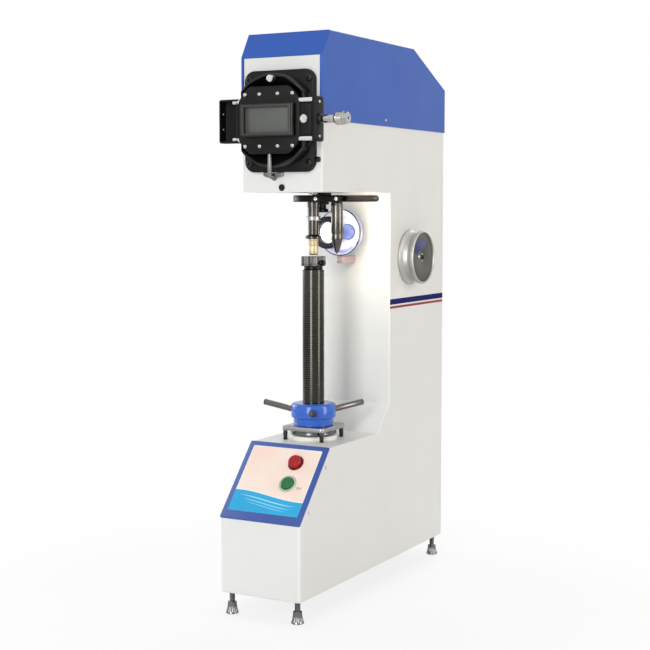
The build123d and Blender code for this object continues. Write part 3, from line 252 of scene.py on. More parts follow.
def turned(
    name: str, profile: Profile, at: Place = (0, 0, 0), facing: Facing = Facing.UP, steps: int = 64, edge: float = 0.3,
    closed: bool = False,
) -> Piece:
    """Turn a profile into a round piece, as on a lathe.

    Args:
        name: Name of the piece.
        profile: (radius, height) of each corner in millimetres.
        at: Where the profile's zero goes, in millimetres.
        facing: Where the profile's height points.
        steps: Facets round the axis.
        edge: Width of the rounded edges in millimetres.
        closed: Whether the profile is a ring, as for a piece with a bore.

    Returns:
        The finished piece.
    """
    piece = chain(name, profile, closed)
    open_up()
    bpy.ops.mesh.spin(steps=steps, angle=2 * pi, center=(0, 0, 0), axis=(0, 0, 1))
    close_up(piece)
    ease_edges(piece, edge)
    return settle(piece, at, facing.value)


def pin(radius: float, low: float, high: float) -> Profile:
    """Profile of a plain pin, or of the drill for a hole.

    Args:
        radius: Its radius in millimetres.
        low: Where it starts along its axis.
        high: Where it ends.

    Returns:
        The four corners of the profile.
    """
    return (0, low), (radius, low), (radius, high), (0, high)


def slab(name: str, low: Place, high: Place, edge: float = 0.8, segments: int = 3) -> Piece:
    """Make a block between two corners and round its edges.

    Args:
        name: Name of the piece.
        low: Lowest corner in millimetres.
        high: Highest corner in millimetres.
        edge: Width of the rounded edges in millimetres.
        segments: Facets across them.

    Returns:
        The finished piece.
    """
    drop_selection()
    middle = (Vector(low) + Vector(high)) * MM / 2
    bpy.ops.mesh.primitive_cube_add(size=1, location=middle, scale=(Vector(high) - Vector(low)) * MM)
    piece = christen(bpy.context.object, name)
    bpy.ops.object.transform_apply(location=True, rotation=True, scale=True)
    return ease_edges(piece, edge, segments)


def plate(
    name: str, outline: Profile, thick: float, at: Place = (0, 0, 0), turn: Place = (0, 0, 0), edge: float = 0.3
) -> Piece:
    """Cut a plate to an outline and raise it to its thickness.

    Args:
        name: Name of the piece.
        outline: (x, y) of each corner in millimetres, before the plate is turned.
        thick: Thickness in millimetres, raised from the outline along +Z.
        at: Where the outline's zero goes, in millimetres.
        turn: Turn about X, Y and Z in radians.
        edge: Width of the rounded edges in millimetres.

    Returns:
        The finished piece.
    """
    piece = chain(name, outline, True)
    open_up()
    bpy.ops.mesh.edge_face_add()
    bpy.ops.mesh.extrude_region_move(TRANSFORM_OT_translate={"value": (0, -thick * MM, 0)})
    bpy.ops.mesh.select_all(action="SELECT")
    bpy.ops.mesh.normals_make_consistent(inside=False)
    bpy.ops.object.mode_set(mode="OBJECT")
    settle(piece, (0, 0, 0), (-pi / 2, 0, 0))
    ease_edges(piece, edge)
    return settle(piece, at, turn)


def rounded_outline(wide: float, high: float, radius: float, steps: int = 6) -> list[Span]:
    """Corners of a rectangle with round corners, about its middle.

    Args:
        wide: Half its width in millimetres.
        high: Half its height in millimetres.
        radius: Corner radius in millimetres.
        steps: Facets in each corner.

    Returns:
        The points in order, anticlockwise.
    """
    points = []
    for index, (x, y) in enumerate(((1, 1), (-1, 1), (-1, -1), (1, -1))):
        for step in range(steps + 1):
            angle = pi / 2 * (index + step / steps)
            points.append((x * (wide - radius) + radius * cos(angle), y * (high - radius) + radius * sin(angle)))
    return points


def flat_sided(radius: float, flat: float, steps: int = 28) -> list[Span]:
    """Outline of a disc whose left and right sides are cut flat.

    Args:
        radius: Radius of the disc in millimetres.
        flat: Half the width that is left, in millimetres.
        steps: Facets in the upper and in the lower arc.

    Returns:
        The points in order, anticlockwise.
    """
    start = atan2(sqrt(radius * radius - flat * flat), flat)
    points = []
    for turn in (0.0, pi):
        for step in range(steps + 1):
            angle = turn + start + (pi - 2 * start) * step / steps
            points.append((radius * cos(angle), radius * sin(angle)))
    return points


def carve(piece: Piece, *cutters: Piece) -> Piece:
    """Cut other shapes out of a piece and throw the cutters away.

    Args:
        piece: The piece to cut.
        cutters: The shapes that come out of it.

    Returns:
        The piece that is left.
    """
    for cutter in cutters:
        modify(piece, "BOOLEAN", operation="DIFFERENCE", object=cutter, solver="EXACT")
        bpy.data.objects.remove(cutter, do_unlink=True)
    return piece


def join(pieces: Sequence[Piece], name: str) -> Piece:
    """Join several shapes into one piece.

    Args:
        pieces: The shapes, of which the first takes in the others.
        name: Name of the joined piece.

    Returns:
        The joined piece.
    """
    take(pieces[0])
    for piece in pieces:
        piece.select_set(True)
    bpy.ops.object.join()
    return christen(bpy.context.object, name)


def copies(model: Piece, places: Sequence[Place], name: str, turn: Place = (0, 0, 0)) -> Piece:
    """Copy one model to several places and join the copies.

    Args:
        model: The shape to copy, modelled about the origin. It is used up.
        places: Where the copies go, in millimetres.
        name: Name of the joined piece.
        turn: Turn of every copy in radians.

    Returns:
        The joined piece.
    """
    made = []
    for place in places:
        take(model)
        bpy.ops.object.duplicate(linked=False)
        made.append(settle(bpy.context.object, place, turn))
    bpy.data.objects.remove(model, do_unlink=True)
    return join(made, name)


def knurl(
    piece: Piece, middle: Place, axis: Vector, low: float, high: float, around: int, pitch: float, depth: float,
    crossed: bool = True,
) -> Piece:
    """Press a knurl into the rim of a turned piece by drawing in every other point of it.

    Args:
        piece: The turned piece, whose rim has a row of points at every pitch.
        middle: A point on its axis in millimetres.
        axis: The direction of its axis.
        low: Where the knurl starts along the axis, in millimetres from the middle.
        high: Where it ends.
        around: Points round the rim.
        pitch: Distance between the rows in millimetres.
        depth: Depth of the knurl as a fraction of the radius.
        crossed: Whether the knurl is diamonds, and not straight.

    Returns:
        The knurled piece.
    """
    centre = Vector(middle) * MM
    side = axis.orthogonal().normalized()
    other = axis.cross(side).normalized()
    drop_selection()
    for part in (*piece.data.polygons, *piece.data.edges):
        part.select = False
    for vertex in piece.data.vertices:
        offset = vertex.co - centre
        along = offset.dot(axis) / MM
        row = round((along - low) / pitch)
        column = round(atan2(offset.dot(other), offset.dot(side)) / (2 * pi) * around)
        vertex.select = low - 0.01 <= along <= high + 0.01 and (column + (row if crossed else 0)) % 2 == 0
    take(piece)
    bpy.ops.object.mode_set(mode="EDIT")
    bpy.ops.mesh.select_mode(type="VERT")
    scale = Vector([1 - depth * (1 - abs(part)) for part in axis])
    bpy.ops.transform.resize(value=scale, center_override=centre)
    bpy.ops.object.mode_set(mode="OBJECT")
    return piece


def letters(text: str, size: float, thick: float, name: str, at: Place, turn: Place) -> Piece:
    """Raise plain letters from a surface.

    Args:
        text: The generic word or number.
        size: Height of the letters in millimetres.
        thick: How far they stand up, in millimetres.
        name: Name of the piece.
        at: Their middle in millimetres.
        turn: Turn about X, Y and Z in radians.

    Returns:
        The letters as a mesh.
    """
    drop_selection()
    bpy.ops.object.text_add()
    words = bpy.context.object
    words.name = name
    words.data.body = text
    words.data.size = size * MM * CAPITALS
    words.data.align_x = "CENTER"
    words.data.align_y = "CENTER"
    words.data.extrude = thick * MM / 2
    words.data.resolution_u = 3
    bpy.ops.object.convert(target="MESH")
    return settle(christen(bpy.context.object, name), at, turn)


# ---------------------------------------------------------------- finishes
def linear(code: str) -> tuple[float, float, float, float]:
    """Turn an sRGB hex colour to linear red, green, blue and alpha.

    Args:
        code: The colour, such as "#E0E3E0".

    Returns:
        Four linear values.
    """
    parts = [int(code[start : start + 2], 16) / 255 for start in (1, 3, 5)]
    red, green, blue = (part / 12.92 if part <= 0.04045 else ((part + 0.055) / 1.055) ** 2.4 for part in parts)
    return red, green, blue, 1.0


def set_inputs(tree: Tree, node: bpy.types.Node, inputs: Inputs) -> None:
    """Set or link the inputs of a node.

    Args:
        tree: The node tree.
        node: The node to feed.
        inputs: Value or linked output of each input, by its name or index.
    """
    for key, value in inputs.items():
        if isinstance(value, bpy.types.NodeSocket):
            tree.links.new(value, node.inputs[key])
        else:
            node.inputs[key].default_value = value


def add(tree: Tree, kind: str, inputs: Inputs | None = None, **settings: Any) -> bpy.types.Node:
    """Add a node with its settings, values and links.

    Args:
        tree: The material's node tree.
        kind: Blender's name for the node, without its prefix.
        inputs: Value or linked output of each input, by its name or index.
        settings: The node's own settings.

    Returns:
        The new node.
    """
    node = tree.nodes.new("ShaderNode" + kind)
    for name, value in settings.items():
        setattr(node, name, value)
    set_inputs(tree, node, inputs or {})
    return node


def surface(
    tree: Tree, tone: tuple[Socket, str, str], gloss: tuple[Socket, float, float] | float,
    relief: tuple[Socket, float, float] | None = None, **inputs: Any,
) -> Inputs:
    """Put together what most finishes share: a tone between two shades, a gloss and a relief.

    Args:
        tree: The material's node tree.
        tone: What the tone follows, and the shades at its low and at its high end.
        gloss: The roughness, or what it follows and its values at both ends.
        relief: The height, the strength and the depth in millimetres of the relief.
        inputs: Further inputs of the Principled shader, with _ for a space in their names.

    Returns:
        All the inputs for the Principled shader.
    """
    where, low, high = tone
    shade = add(tree, "Mix", {0: where, 6: linear(low), 7: linear(high)}, data_type="RGBA")
    made = {"Base Color": shade.outputs[2], "Roughness": gloss}
    if isinstance(gloss, tuple):
        where, low, high = gloss
        made["Roughness"] = add(tree, "MapRange", {"Value": where, "To Min": low, "To Max": high}).outputs[0]
    if relief:
        height, strength, depth = relief
        bump = add(tree, "Bump", {"Height": height, "Strength": strength, "Distance": depth * MM})
        made["Normal"] = bump.outputs[0]
    return made | {name.replace("_", " "): value for name, value in inputs.items()}


@dataclass(frozen=True)
class Finish:
    """The material of a surface and how it was made."""

    name: str
    shade: str

    def material(self) -> bpy.types.Material:
        """Make the material once, and return it.

        Returns:
            The node material of this finish.
        """
        made = bpy.data.materials.get(self.name)
        if made is None:
            made = bpy.data.materials.new(self.name)
            made.use_nodes = True
            tree = made.node_tree
            tree.nodes.clear()
            shader = add(tree, "BsdfPrincipled")
            add(tree, "OutputMaterial", {"Surface": shader.outputs[0]})
            set_inputs(tree, shader, self.build(tree, add(tree, "TexCoord").outputs["Object"]))
        return made

    def build(self, tree: Tree, where: Socket) -> Inputs:
        """Add the nodes that feed the shader.

        Args:
            tree: The material's node tree.
            where: Place on the object, in metres.

        Returns:
            The inputs for the Principled shader.
        """
        raise NotImplementedError


@dataclass(frozen=True)
class SprayEnamel(Finish):
    """Stoving enamel sprayed on filled sheet steel: an even satin film with a shallow orange peel."""

    tint: str
    roughness: float = 0.38
    peel: float = 1.8

    def build(self, tree: Tree, where: Socket) -> Inputs:
        """Drift the shade slowly over the sheet, and dimple the film at the peel's size.

        Args:
            tree: The material's node tree.
            where: Place on the object, in metres.

        Returns:
            The inputs for the Principled shader.
        """
        # the film is a little thicker in places, over a hand's width
        drift = add(tree, "TexNoise", {"Vector": where, "Scale": 1 / (90 * MM), "Detail": 2.0}).outputs[0]
        peel = add(tree, "TexNoise", {"Vector": where, "Scale": 1 / (self.peel * MM), "Detail": 1.0}).outputs[0]
        gloss = (drift, self.roughness - 0.05, self.roughness + 0.05)
        return surface(tree, (drift, self.shade, self.tint), gloss, (peel, 0.12, 0.06))


@dataclass(frozen=True)
class TurnedMetal(Finish):
    """Metal turned on a lathe: fine rings round its axis, some brighter than others."""

    dark: str
    middle: Place = (0, 0, 0)
    facing: Facing = Facing.UP
    feed: float = 0.5
    roughness: float = 0.28

    def build(self, tree: Tree, where: Socket) -> Inputs:
        """Draw the tool's rings by distance from the axis and along it, and smear them a little.

        Args:
            tree: The material's node tree.
            where: Place on the object, in metres.

        Returns:
            The inputs for the Principled shader.
        """
        spot = {"Vector": where, "Location": Vector(self.middle) * MM, "Rotation": self.facing.value}
        where = add(tree, "Mapping", spot, vector_type="TEXTURE").outputs[0]
        flat = add(tree, "VectorMath", {0: where, 1: (1.0, 1.0, 0.0)}, operation="MULTIPLY")
        radius = add(tree, "VectorMath", {0: flat.outputs[0]}, operation="LENGTH")
        height = add(tree, "SeparateXYZ", {0: where})
        reach = add(tree, "Math", {0: radius.outputs["Value"], 1: height.outputs["Z"]}, operation="ADD").outputs[0]
        # real feed marks are 0.1 mm apart; they are drawn wider so that they show
        lines = {"W": reach, "Scale": 1 / (self.feed * MM), "Detail": 2.0}
        rings = add(tree, "TexNoise", lines, noise_dimensions="1D").outputs[0]
        wipe = add(tree, "TexNoise", {"Vector": where, "Scale": 1 / (14 * MM), "Detail": 3.0})
        both = add(tree, "Math", {0: rings, 1: wipe.outputs[0]}, operation="MULTIPLY").outputs[0]
        gloss = (rings, self.roughness + 0.08, self.roughness - 0.06)
        return surface(tree, (both, self.dark, self.shade), gloss, (rings, 0.25, 0.03), Metallic=1.0)


@dataclass(frozen=True)
class GroundMetal(Finish):
    """Metal ground flat or drawn through a die: fine straight scratches all one way."""

    dark: str
    along: Place = (0.02, 1.0, 1.0)
    line: float = 0.6
    roughness: float = 0.3
    contrast: float = 1.0

    def build(self, tree: Tree, where: Socket) -> Inputs:
        """Stretch fine noise along the scratches, and use it for tone, gloss and depth.

        Args:
            tree: The material's node tree.
            where: Place on the object, in metres.

        Returns:
            The inputs for the Principled shader.
        """
        where = add(tree, "Mapping", {"Vector": where, "Scale": self.along}).outputs[0]
        # real scratches are hundredths of a millimetre apart; they are drawn wider so that they show
        lines = add(tree, "TexNoise", {"Vector": where, "Scale": 1 / (self.line * MM), "Detail": 4.0}).outputs[0]
        reach = 0.5 / self.contrast
        mark = add(tree, "MapRange", {"Value": lines, "From Min": 0.5 - reach, "From Max": 0.5 + reach}).outputs[0]
        gloss = (lines, self.roughness - 0.06, self.roughness + 0.1)
        return surface(tree, (mark, self.dark, self.shade), gloss, (lines, 0.2, 0.02), Metallic=1.0)


@dataclass(frozen=True)
class GrainySurface(Finish):
    """A surface with an even fine grain: sand-cast iron, black oxide, baked black paint or moulded plastic."""

    tint: str
    grain: float
    roughness: float
    metallic: float = 0.0
    depth: float = 0.04
    ior: float = 1.5

    def build(self, tree: Tree, where: Socket) -> Inputs:
        """Give the surface its grain, and let tone and gloss wander over larger patches.

        Args:
            tree: The material's node tree.
            where: Place on the object, in metres.

        Returns:
            The inputs for the Principled shader.
        """
        grain = add(tree, "TexNoise", {"Vector": where, "Scale": 1 / (self.grain * MM), "Detail": 3.0}).outputs[0]
        patch = add(tree, "TexNoise", {"Vector": where, "Scale": 1 / (25 * MM), "Detail": 3.0}).outputs[0]
        both = add(tree, "Math", {0: grain, 1: patch}, operation="MULTIPLY").outputs[0]
        gloss, relief = (patch, self.roughness - 0.08, self.roughness + 0.08), (grain, 0.3, self.depth)
        return surface(tree, (both, self.shade, self.tint), gloss, relief, Metallic=self.metallic, IOR=self.ior)


@dataclass(frozen=True)
class BrightPlate(Finish):
    """Bright zinc or nickel plate: it mirrors the room softly, with faint wipe marks."""

    dull: float

    def build(self, tree: Tree, where: Socket) -> Inputs:
        """Keep the plate bright and let faint wipe marks dull it.

        Args:
            tree: The material's node tree.
            where: Place on the object, in metres.

        Returns:
            The inputs for the Principled shader.
        """
        wipe = add(tree, "TexNoise", {"Vector": where, "Scale": 1 / (9 * MM), "Detail": 4.0})
        shine = add(tree, "MapRange", {"Value": wipe.outputs[0], "To Min": 0.05, "To Max": self.dull})
        return {"Base Color": linear(self.shade), "Metallic": 1.0, "Roughness": shine.outputs[0]}


@dataclass(frozen=True)
class SpunReflector(Finish):
    """Aluminium spun to a bowl and brightened: nearly white, with blue clouds of painted reflection where it would
    mirror the blue paint.
    """

    painted_blue_reflection: str
    middle: Place
    roughness: float = 0.34

    def build(self, tree: Tree, where: Socket) -> Inputs:
        """Spread soft clouds of painted blue reflection over the bowl, and the spinning tool's fine rings round its
        axis.

        Args:
            tree: The material's node tree.
            where: Place on the object, in metres.

        Returns:
            The inputs for the Principled shader.
        """
        # blue clouds of painted reflection: noise picks where the bowl takes the blue shade
        painted_blue_reflection = add(tree, "TexNoise", {"Vector": where, "Scale": 1 / (24 * MM), "Detail": 1.0})
        band = {"Value": painted_blue_reflection.outputs[0], "From Min": 0.5, "From Max": 0.68}
        cover = add(tree, "MapRange", band, interpolation_type="SMOOTHSTEP").outputs[0]
        middle = add(tree, "VectorMath", {0: where, 1: Vector(self.middle) * MM}, operation="SUBTRACT")
        reach = add(tree, "VectorMath", {0: middle.outputs[0], 1: (1.0, 0.0, 1.0)}, operation="MULTIPLY")
        reach = add(tree, "VectorMath", {0: reach.outputs[0]}, operation="LENGTH").outputs["Value"]
        # real spinning marks are 0.3 mm apart; they are drawn wider so that they show
        rings = add(tree, "TexNoise", {"W": reach, "Scale": 1 / (0.8 * MM)}, noise_dimensions="1D").outputs[0]
        # the sheet is lacquered, so it looks nearer to white paint than to a mirror
        return surface(tree, (cover, self.shade, self.painted_blue_reflection), self.roughness, (rings, 0.2, 0.03), Metallic=0.1)


@dataclass(frozen=True)
class GroundGlass(Finish):
    """Glass ground matt on one side with a dark chamber behind it: soft, even and faintly mottled."""

    tint: str
    roughness: float = 0.3

    def build(self, tree: Tree, where: Socket) -> Inputs:
        """Mottle the ground side finely under the smooth front.

        Args:
            tree: The material's node tree.
            where: Place on the object, in metres.

        Returns:
            The inputs for the Principled shader.
        """
        mottle = add(tree, "TexNoise", {"Vector": where, "Scale": 1 / (0.8 * MM), "Detail": 4.0})
        haze = add(tree, "TexNoise", {"Vector": where, "Scale": 1 / (30 * MM), "Detail": 1.0})
        both = add(tree, "Math", {0: mottle.outputs[0], 1: haze.outputs[0]}, operation="MULTIPLY").outputs[0]
        front = {"Coat_Weight": 0.25, "Coat_Roughness": 0.08}
        return surface(tree, (both, self.shade, self.tint), self.roughness, IOR=1.52, **front)


@dataclass(frozen=True)
class LitGlass(Finish):
    """Opal lens in front of a lamp that is switched on: brightest in the middle."""

    middle: Place
    radius: float
    strength: float

    def build(self, tree: Tree, where: Socket) -> Inputs:
        """Let the glow fall off a little towards the rim of the lens.

        Args:
            tree: The material's node tree.
            where: Place on the object, in metres.

        Returns:
            The inputs for the Principled shader.
        """
        reach = add(tree, "VectorMath", {0: where, 1: Vector(self.middle) * MM}, operation="DISTANCE")
        fall = {"From Max": self.radius * MM, "To Min": self.strength, "To Max": self.strength * 0.7}
        glow = add(
            tree, "MapRange", {"Value": reach.outputs["Value"], **fall}, interpolation_type="SMOOTHSTEP"
        ).outputs[0]
        shade = linear(self.shade)
        return {"Base Color": shade, "Roughness": 0.35, "Emission Color": shade, "Emission Strength": glow}


@dataclass(frozen=True)
class PrintedFoil(Finish):
    """Polyester panel foil printed from behind: an even ink that drifts in tone, under a soft gloss."""

    tint: str
    roughness: float = 0.34

    def build(self, tree: Tree, where: Socket) -> Inputs:
        """Let the ink drift as airbrushed inks do, and ripple the foil very slightly.

        Args:
            tree: The material's node tree.
            where: Place on the object, in metres.

        Returns:
            The inputs for the Principled shader.
        """
        drift = add(tree, "TexNoise", {"Vector": where, "Scale": 1 / (55 * MM), "Detail": 1.0}).outputs[0]
        ripple = add(tree, "TexNoise", {"Vector": where, "Scale": 1 / (6 * MM), "Detail": 1.0}).outputs[0]
        return surface(tree, (drift, self.shade, self.tint), self.roughness, (ripple, 0.06, 0.05), IOR=1.57)


class Finishes:
    """Every finish of the tester, each named for its real material and process."""

    # sprayed and stoved enamel: broad soft highlights, and no grain at arm's length
    WHITE = SprayEnamel("white_stoving_enamel", "#E6E7E4", "#E0E1DD", 0.42)
    BLUE = SprayEnamel("blue_stoving_enamel", "#1F55B2", "#1C50A8", 0.42)
    TAN_PAINT = SprayEnamel("pink_brown_enamel", "#B09A98", "#A89290", 0.45)
    # glossier enamel on castings: a narrow bright highlight down the blue hub; the white boss is painted lighter than
    # the cabinet's white, painted light on a ring that sits in shade under the bearing
    HUB_BLUE = SprayEnamel("blue_gloss_enamel", "#3268CC", "#2C60C0", 0.14, 3.0)
    BOSS_PAINTED_LIGHT_WHITE = SprayEnamel("white_boss_painted_light", "#FAF8EE", "#F4F2E8", 0.3)
    # baked matt black and satin anodised black: near black, with a dull sheen that only edges catch
    BLACK_PAINT = GrainySurface("black_baked_paint", "#0A0B0A", "#111210", 0.7, 0.5, ior=1.28)
    BLACK_SATIN = GrainySurface("black_anodised_aluminium", "#090A0A", "#0F100F", 0.5, 0.36, 0.0, 0.02, ior=1.38)
    BEZEL = GrainySurface("dark_grey_window_frame", "#191A18", "#222321", 0.6, 0.4, ior=1.36)
    LIP = GrainySurface("grey_window_lip", "#34352F", "#3D3E38", 0.6, 0.42, ior=1.4)
    # thick machine paint over rough castings: flat grey with a coarse, dusty grain
    GREY_PAINT = GrainySurface("grey_machine_paint", "#6E7173", "#7A7D7F", 0.9, 0.5)
    # bare iron as it left the sand: dark grey, rough to the touch and without highlights
    CAST_IRON = GrainySurface("sand_cast_iron", "#55565A", "#6A6B6E", 1.2, 0.6, 1.0, 0.15)
    # chemically blackened steel, oiled: brown-black metal with blurred highlights
    BLACK_OXIDE = GrainySurface("black_oxide_steel", "#2A2927", "#3D3B38", 0.5, 0.3, 1.0, 0.02)
    DARK_STEEL = GrainySurface("oiled_dark_steel", "#3A3937", "#4A4845", 0.6, 0.35, 1.0, 0.02)
    # the same steel worn bright by the nut: every flank of the thread carries its own glint
    THREAD = GrainySurface("oiled_black_screw_steel", "#474541", "#5E5B57", 0.6, 0.15, 1.0, 0.01)
    # lacquer over the lamp's steel: blue-black, and glossy where it turns to the light
    RIM_BLUE = GrainySurface("blue_lacquered_rim", "#22264E", "#2F3462", 0.5, 0.3)
    LAMP_BLUE_BLACK = GrainySurface("blue_black_lacquer", "#15172C", "#20244A", 0.6, 0.26)
    # self-coloured moulded plastic: saturated, with a soft highlight and no visible grain
    RED_PLASTIC = GrainySurface("red_moulded_plastic", "#A60D16", "#980A13", 0.4, 0.3, 0.0, 0.01, ior=1.42)
    GREEN_PLASTIC = GrainySurface("green_moulded_plastic", "#1F6E39", "#1B6232", 0.4, 0.34, 0.0, 0.01, ior=1.42)
    BLACK_PLASTIC = GrainySurface("black_moulded_plastic", "#1C1D1E", "#252627", 0.5, 0.45, 0.0, 0.02)
    RED_RIM = GrainySurface("dark_red_button_rim", "#5A1418", "#6A191E", 0.5, 0.35)
    PALE_RIM = GrainySurface("pale_green_button_rim", "#B9C6BD", "#AAB8AE", 0.5, 0.35)
    # calendered vinyl tape: flat bands of deep colour that hardly shine
    BLUE_STRIPE = GrainySurface("navy_vinyl_stripe", "#030D58", "#051064", 0.5, 0.6, 0.0, 0.01, ior=1.2)
    RED_STRIPE = GrainySurface("red_vinyl_stripe", "#93262C", "#9C2E33", 0.5, 0.5, 0.0, 0.01, ior=1.4)
    # screen-printed ink: an opaque dull film, a little darker than its pigment
    DIAL_LABEL = GrainySurface("indigo_printed_dial_label", "#222A66", "#2C3372", 0.5, 0.35)
    LABEL_INK = GrainySurface("brown_screen_print", "#5A3F42", "#654A4D", 0.4, 0.5)
    # drawn or milled stock: pale metal with straight hairlines that spread its highlights sideways
    BRIGHT_STEEL = GroundMetal("bright_drawn_steel", "#B4B5B4", "#98999A")
    ALUMINIUM = GroundMetal("machined_aluminium", "#C4C5C3", "#ABACAB", (0.05, 1.0, 1.0), 0.5, 0.32)
    BRASS = GroundMetal("turned_brass", "#C2A060", "#A8884C", (1.0, 1.0, 0.1), 0.5, 0.3)
    HANDLE = GroundMetal("grey_ground_handle", "#8B8C89", "#6C6D6B", (1.0, 1.0, 0.05), 0.6, 0.3)
    PLATE_STEEL = GroundMetal("ground_thrust_plate", "#BDBDBC", "#8F8F90", (0.05, 1.0, 1.0), 0.6, 0.28)
    # polished bar: bright lines down the length that mirror the white room
    RAIL = GroundMetal("polished_guide_rods", "#F2F1EE", "#C4C3C1", (0.03, 1.0, 1.0), 0.6, 0.14)
    SPOKE = GroundMetal("polished_spoke_steel", "#85827D", "#4E4B48", (1.0, 1.0, 1.0), 1.4, 0.18)
    # blackened steel with painted highlights: strong pale and black bars down its sides stand in for the reflections of
    # the tall lights
    ANVIL_PAINTED_HIGHLIGHTS = GroundMetal("ground_black_anvil", "#9C9A96", "#151310", (1.0, 1.0, 0.06), 2.8, 0.16, 3.2)
    # steel turned and then blackened: dark, with rings that glint in turn
    NOSE = TurnedMetal("turned_black_nose", "#3A3836", "#1E1D1C")
    TURRET_BLACK = TurnedMetal("black_oxide_turret", "#33312F", "#1C1B1A", (0, TURRET_Y, 0), roughness=0.3)
    OBJECTIVE = TurnedMetal("black_oxide_objective", "#83817D", "#33312E", roughness=0.14)
    GRIP = TurnedMetal("turned_grip_steel", "#7A706C", "#4C4542", (0, TURRET_Y, 658.4), Facing.RIGHT)
    # turned and polished steel: dark and light bands side by side down a cylinder
    RING_STEEL = TurnedMetal("turned_bearing_ring", "#A9A7A9", "#5E5C5F", roughness=0.2)
    HOLDER = TurnedMetal("polished_indenter_holder", "#8F8B85", "#57534D", (TURRET_Y, TURRET_Y, 0), roughness=0.13)
    CONE = TurnedMetal("polished_indenter_cone", "#8C8882", "#56524C", (TURRET_Y, TURRET_Y, 0), roughness=0.14)
    KNOB = TurnedMetal("bright_turned_knobs", "#EDECE9", "#C9C8C5", facing=Facing.FRONT, roughness=0.24)
    SLEEVE = TurnedMetal("satin_chrome_micrometer", "#DADAD8", "#A9A8A6", (0, -129, 778), Facing.RIGHT, roughness=0.18)
    # lacquered brass: pale straw, and softer than the black barrel over it
    NOSE_BRASS = TurnedMetal("pale_brass_mount", "#DDD0B4", "#C4B48E", roughness=0.46)
    # turned aluminium with clear or dark anodising: silky rings that fan out as the dial turns
    DIAL_METAL = TurnedMetal("turned_aluminium_dial", "#D2D2CE", "#B5B5B1", DIAL_AXIS, Facing.RIGHT, 0.8, 0.42)
    DIAL_FACE = TurnedMetal("dark_anodised_dial_plate", "#7C7A72", "#57554E", DIAL_AXIS, Facing.RIGHT, 0.9, 0.36)
    # pale violet-blue on the turned neck: painted reflection, standing in for the blue paint that the bowl mirrors
    # round the neck
    NECK_PAINTED_BLUE_REFLECTION = TurnedMetal("neck_painted_blue_reflection", "#B7C3EE", "#8797D6", (0, 137, LAMP_Z), Facing.FRONT, roughness=0.3)
    # bright plating on small parts: they mirror the room, so they read as light dots or dark bells
    FASTENER = BrightPlate("zinc_plated_screws", "#C9CACC", 0.3)
    FOOT = BrightPlate("nickel_plated_foot", "#7E7F81", 0.22)
    STUD = BrightPlate("nickel_plated_stud", "#8E8F92", 0.26)
    # spun and lacquered sheet: nearly white, clouded with painted reflections of the blue paint
    REFLECTOR = SpunReflector("spun_aluminium_bowl", "#F6F7FC", "#A9B6EA", (0, 0, LAMP_Z))
    # glass: a deep blue bloom on the objective, an even grey haze on the screen, a lit disc in the lamp
    LENS = GroundGlass("coated_front_lens", "#141824", "#20283C", 0.06)
    SCREEN_GLASS = GroundGlass("grey_ground_glass", "#4A4C49", "#5C5E5A", 0.34)
    LIT_LENS = LitGlass("lit_opal_lens", "#FFFBF2", (0, 50, LAMP_Z), 17.4, 2.2)
    # inks behind polyester foil: clean flat colours, the peach and the cyan fading as if airbrushed
    PANEL_BORDER = PrintedFoil("blue_border_ink", "#2C509E", "#294B96", 0.5)
    PANEL_LINE = PrintedFoil("white_line_ink", "#F6F6F4", "#F0F0EE")
    PANEL_FIELD = PrintedFoil("peach_field_ink", "#FAD6C2", "#FDF0E7")
    PANEL_BAND = PrintedFoil("cyan_band_ink", "#0E9FD6", "#18B0E2")
    PANEL_STREAK = PrintedFoil("pale_cyan_ink", "#8FD8F0", "#A9E4F5")


# ---------------------------------------------------------------- dressing
def dress(
    piece: Piece, body: str, finish: Finish, stands_for: Sequence[str] = ()
) -> Piece:
    """Give a piece its finish and let it ride on its body.

    Args:
        piece: The finished piece.
        body: The body it moves with.
        finish: What its surface is.
        stands_for: The solids it replaces.

    Returns:
        The same piece.
    """
    piece.data.materials.clear()
    piece.data.materials.append(finish.material())
    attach(piece, body)
    if stands_for:
        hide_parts(*stands_for)
    LOG.info("%s: %d faces, %s", piece.name, len(piece.data.polygons), finish.name)
    return piece


def repaint(finish: Finish, *nodes: str) -> None:
    """Give solids of the frame a finish, on their own material slots.

    Args:
        finish: What their surface is.
        nodes: Names of the solids.
    """
    for node in nodes:
        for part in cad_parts[node].material_slots:
            part.material = finish.material()
        LOG.info("%s: %s", node, finish.name)


@dataclass
class Fastener:
    """Small screw head that repeats over the tester."""

    radius: float
    height: float
    slot: float = 0.0
    socket: float = 0.0

    def head(self, name: str) -> Piece:
        """Model one head about the origin, facing up.

        Args:
            name: Name of the head.

        Returns:
            The head, slotted or with a hexagon socket.
        """
        r, h = self.radius, self.height
        profile = ((0, -h), (r, -h), (r, h * 0.45), (r * 0.8, h * 0.85), (0, h))
        head = turned(name, profile, steps=20, edge=0.12)
        if self.slot:
            cut = slab("cut", (-r * 1.2, -self.slot / 2, h * 0.35), (r * 1.2, self.slot / 2, h * 2), 0)
            carve(head, cut)
        if self.socket:
            carve(head, turned("cut", pin(self.socket, h * 0.2, h * 2), steps=6, edge=0))
        return smooth(head)


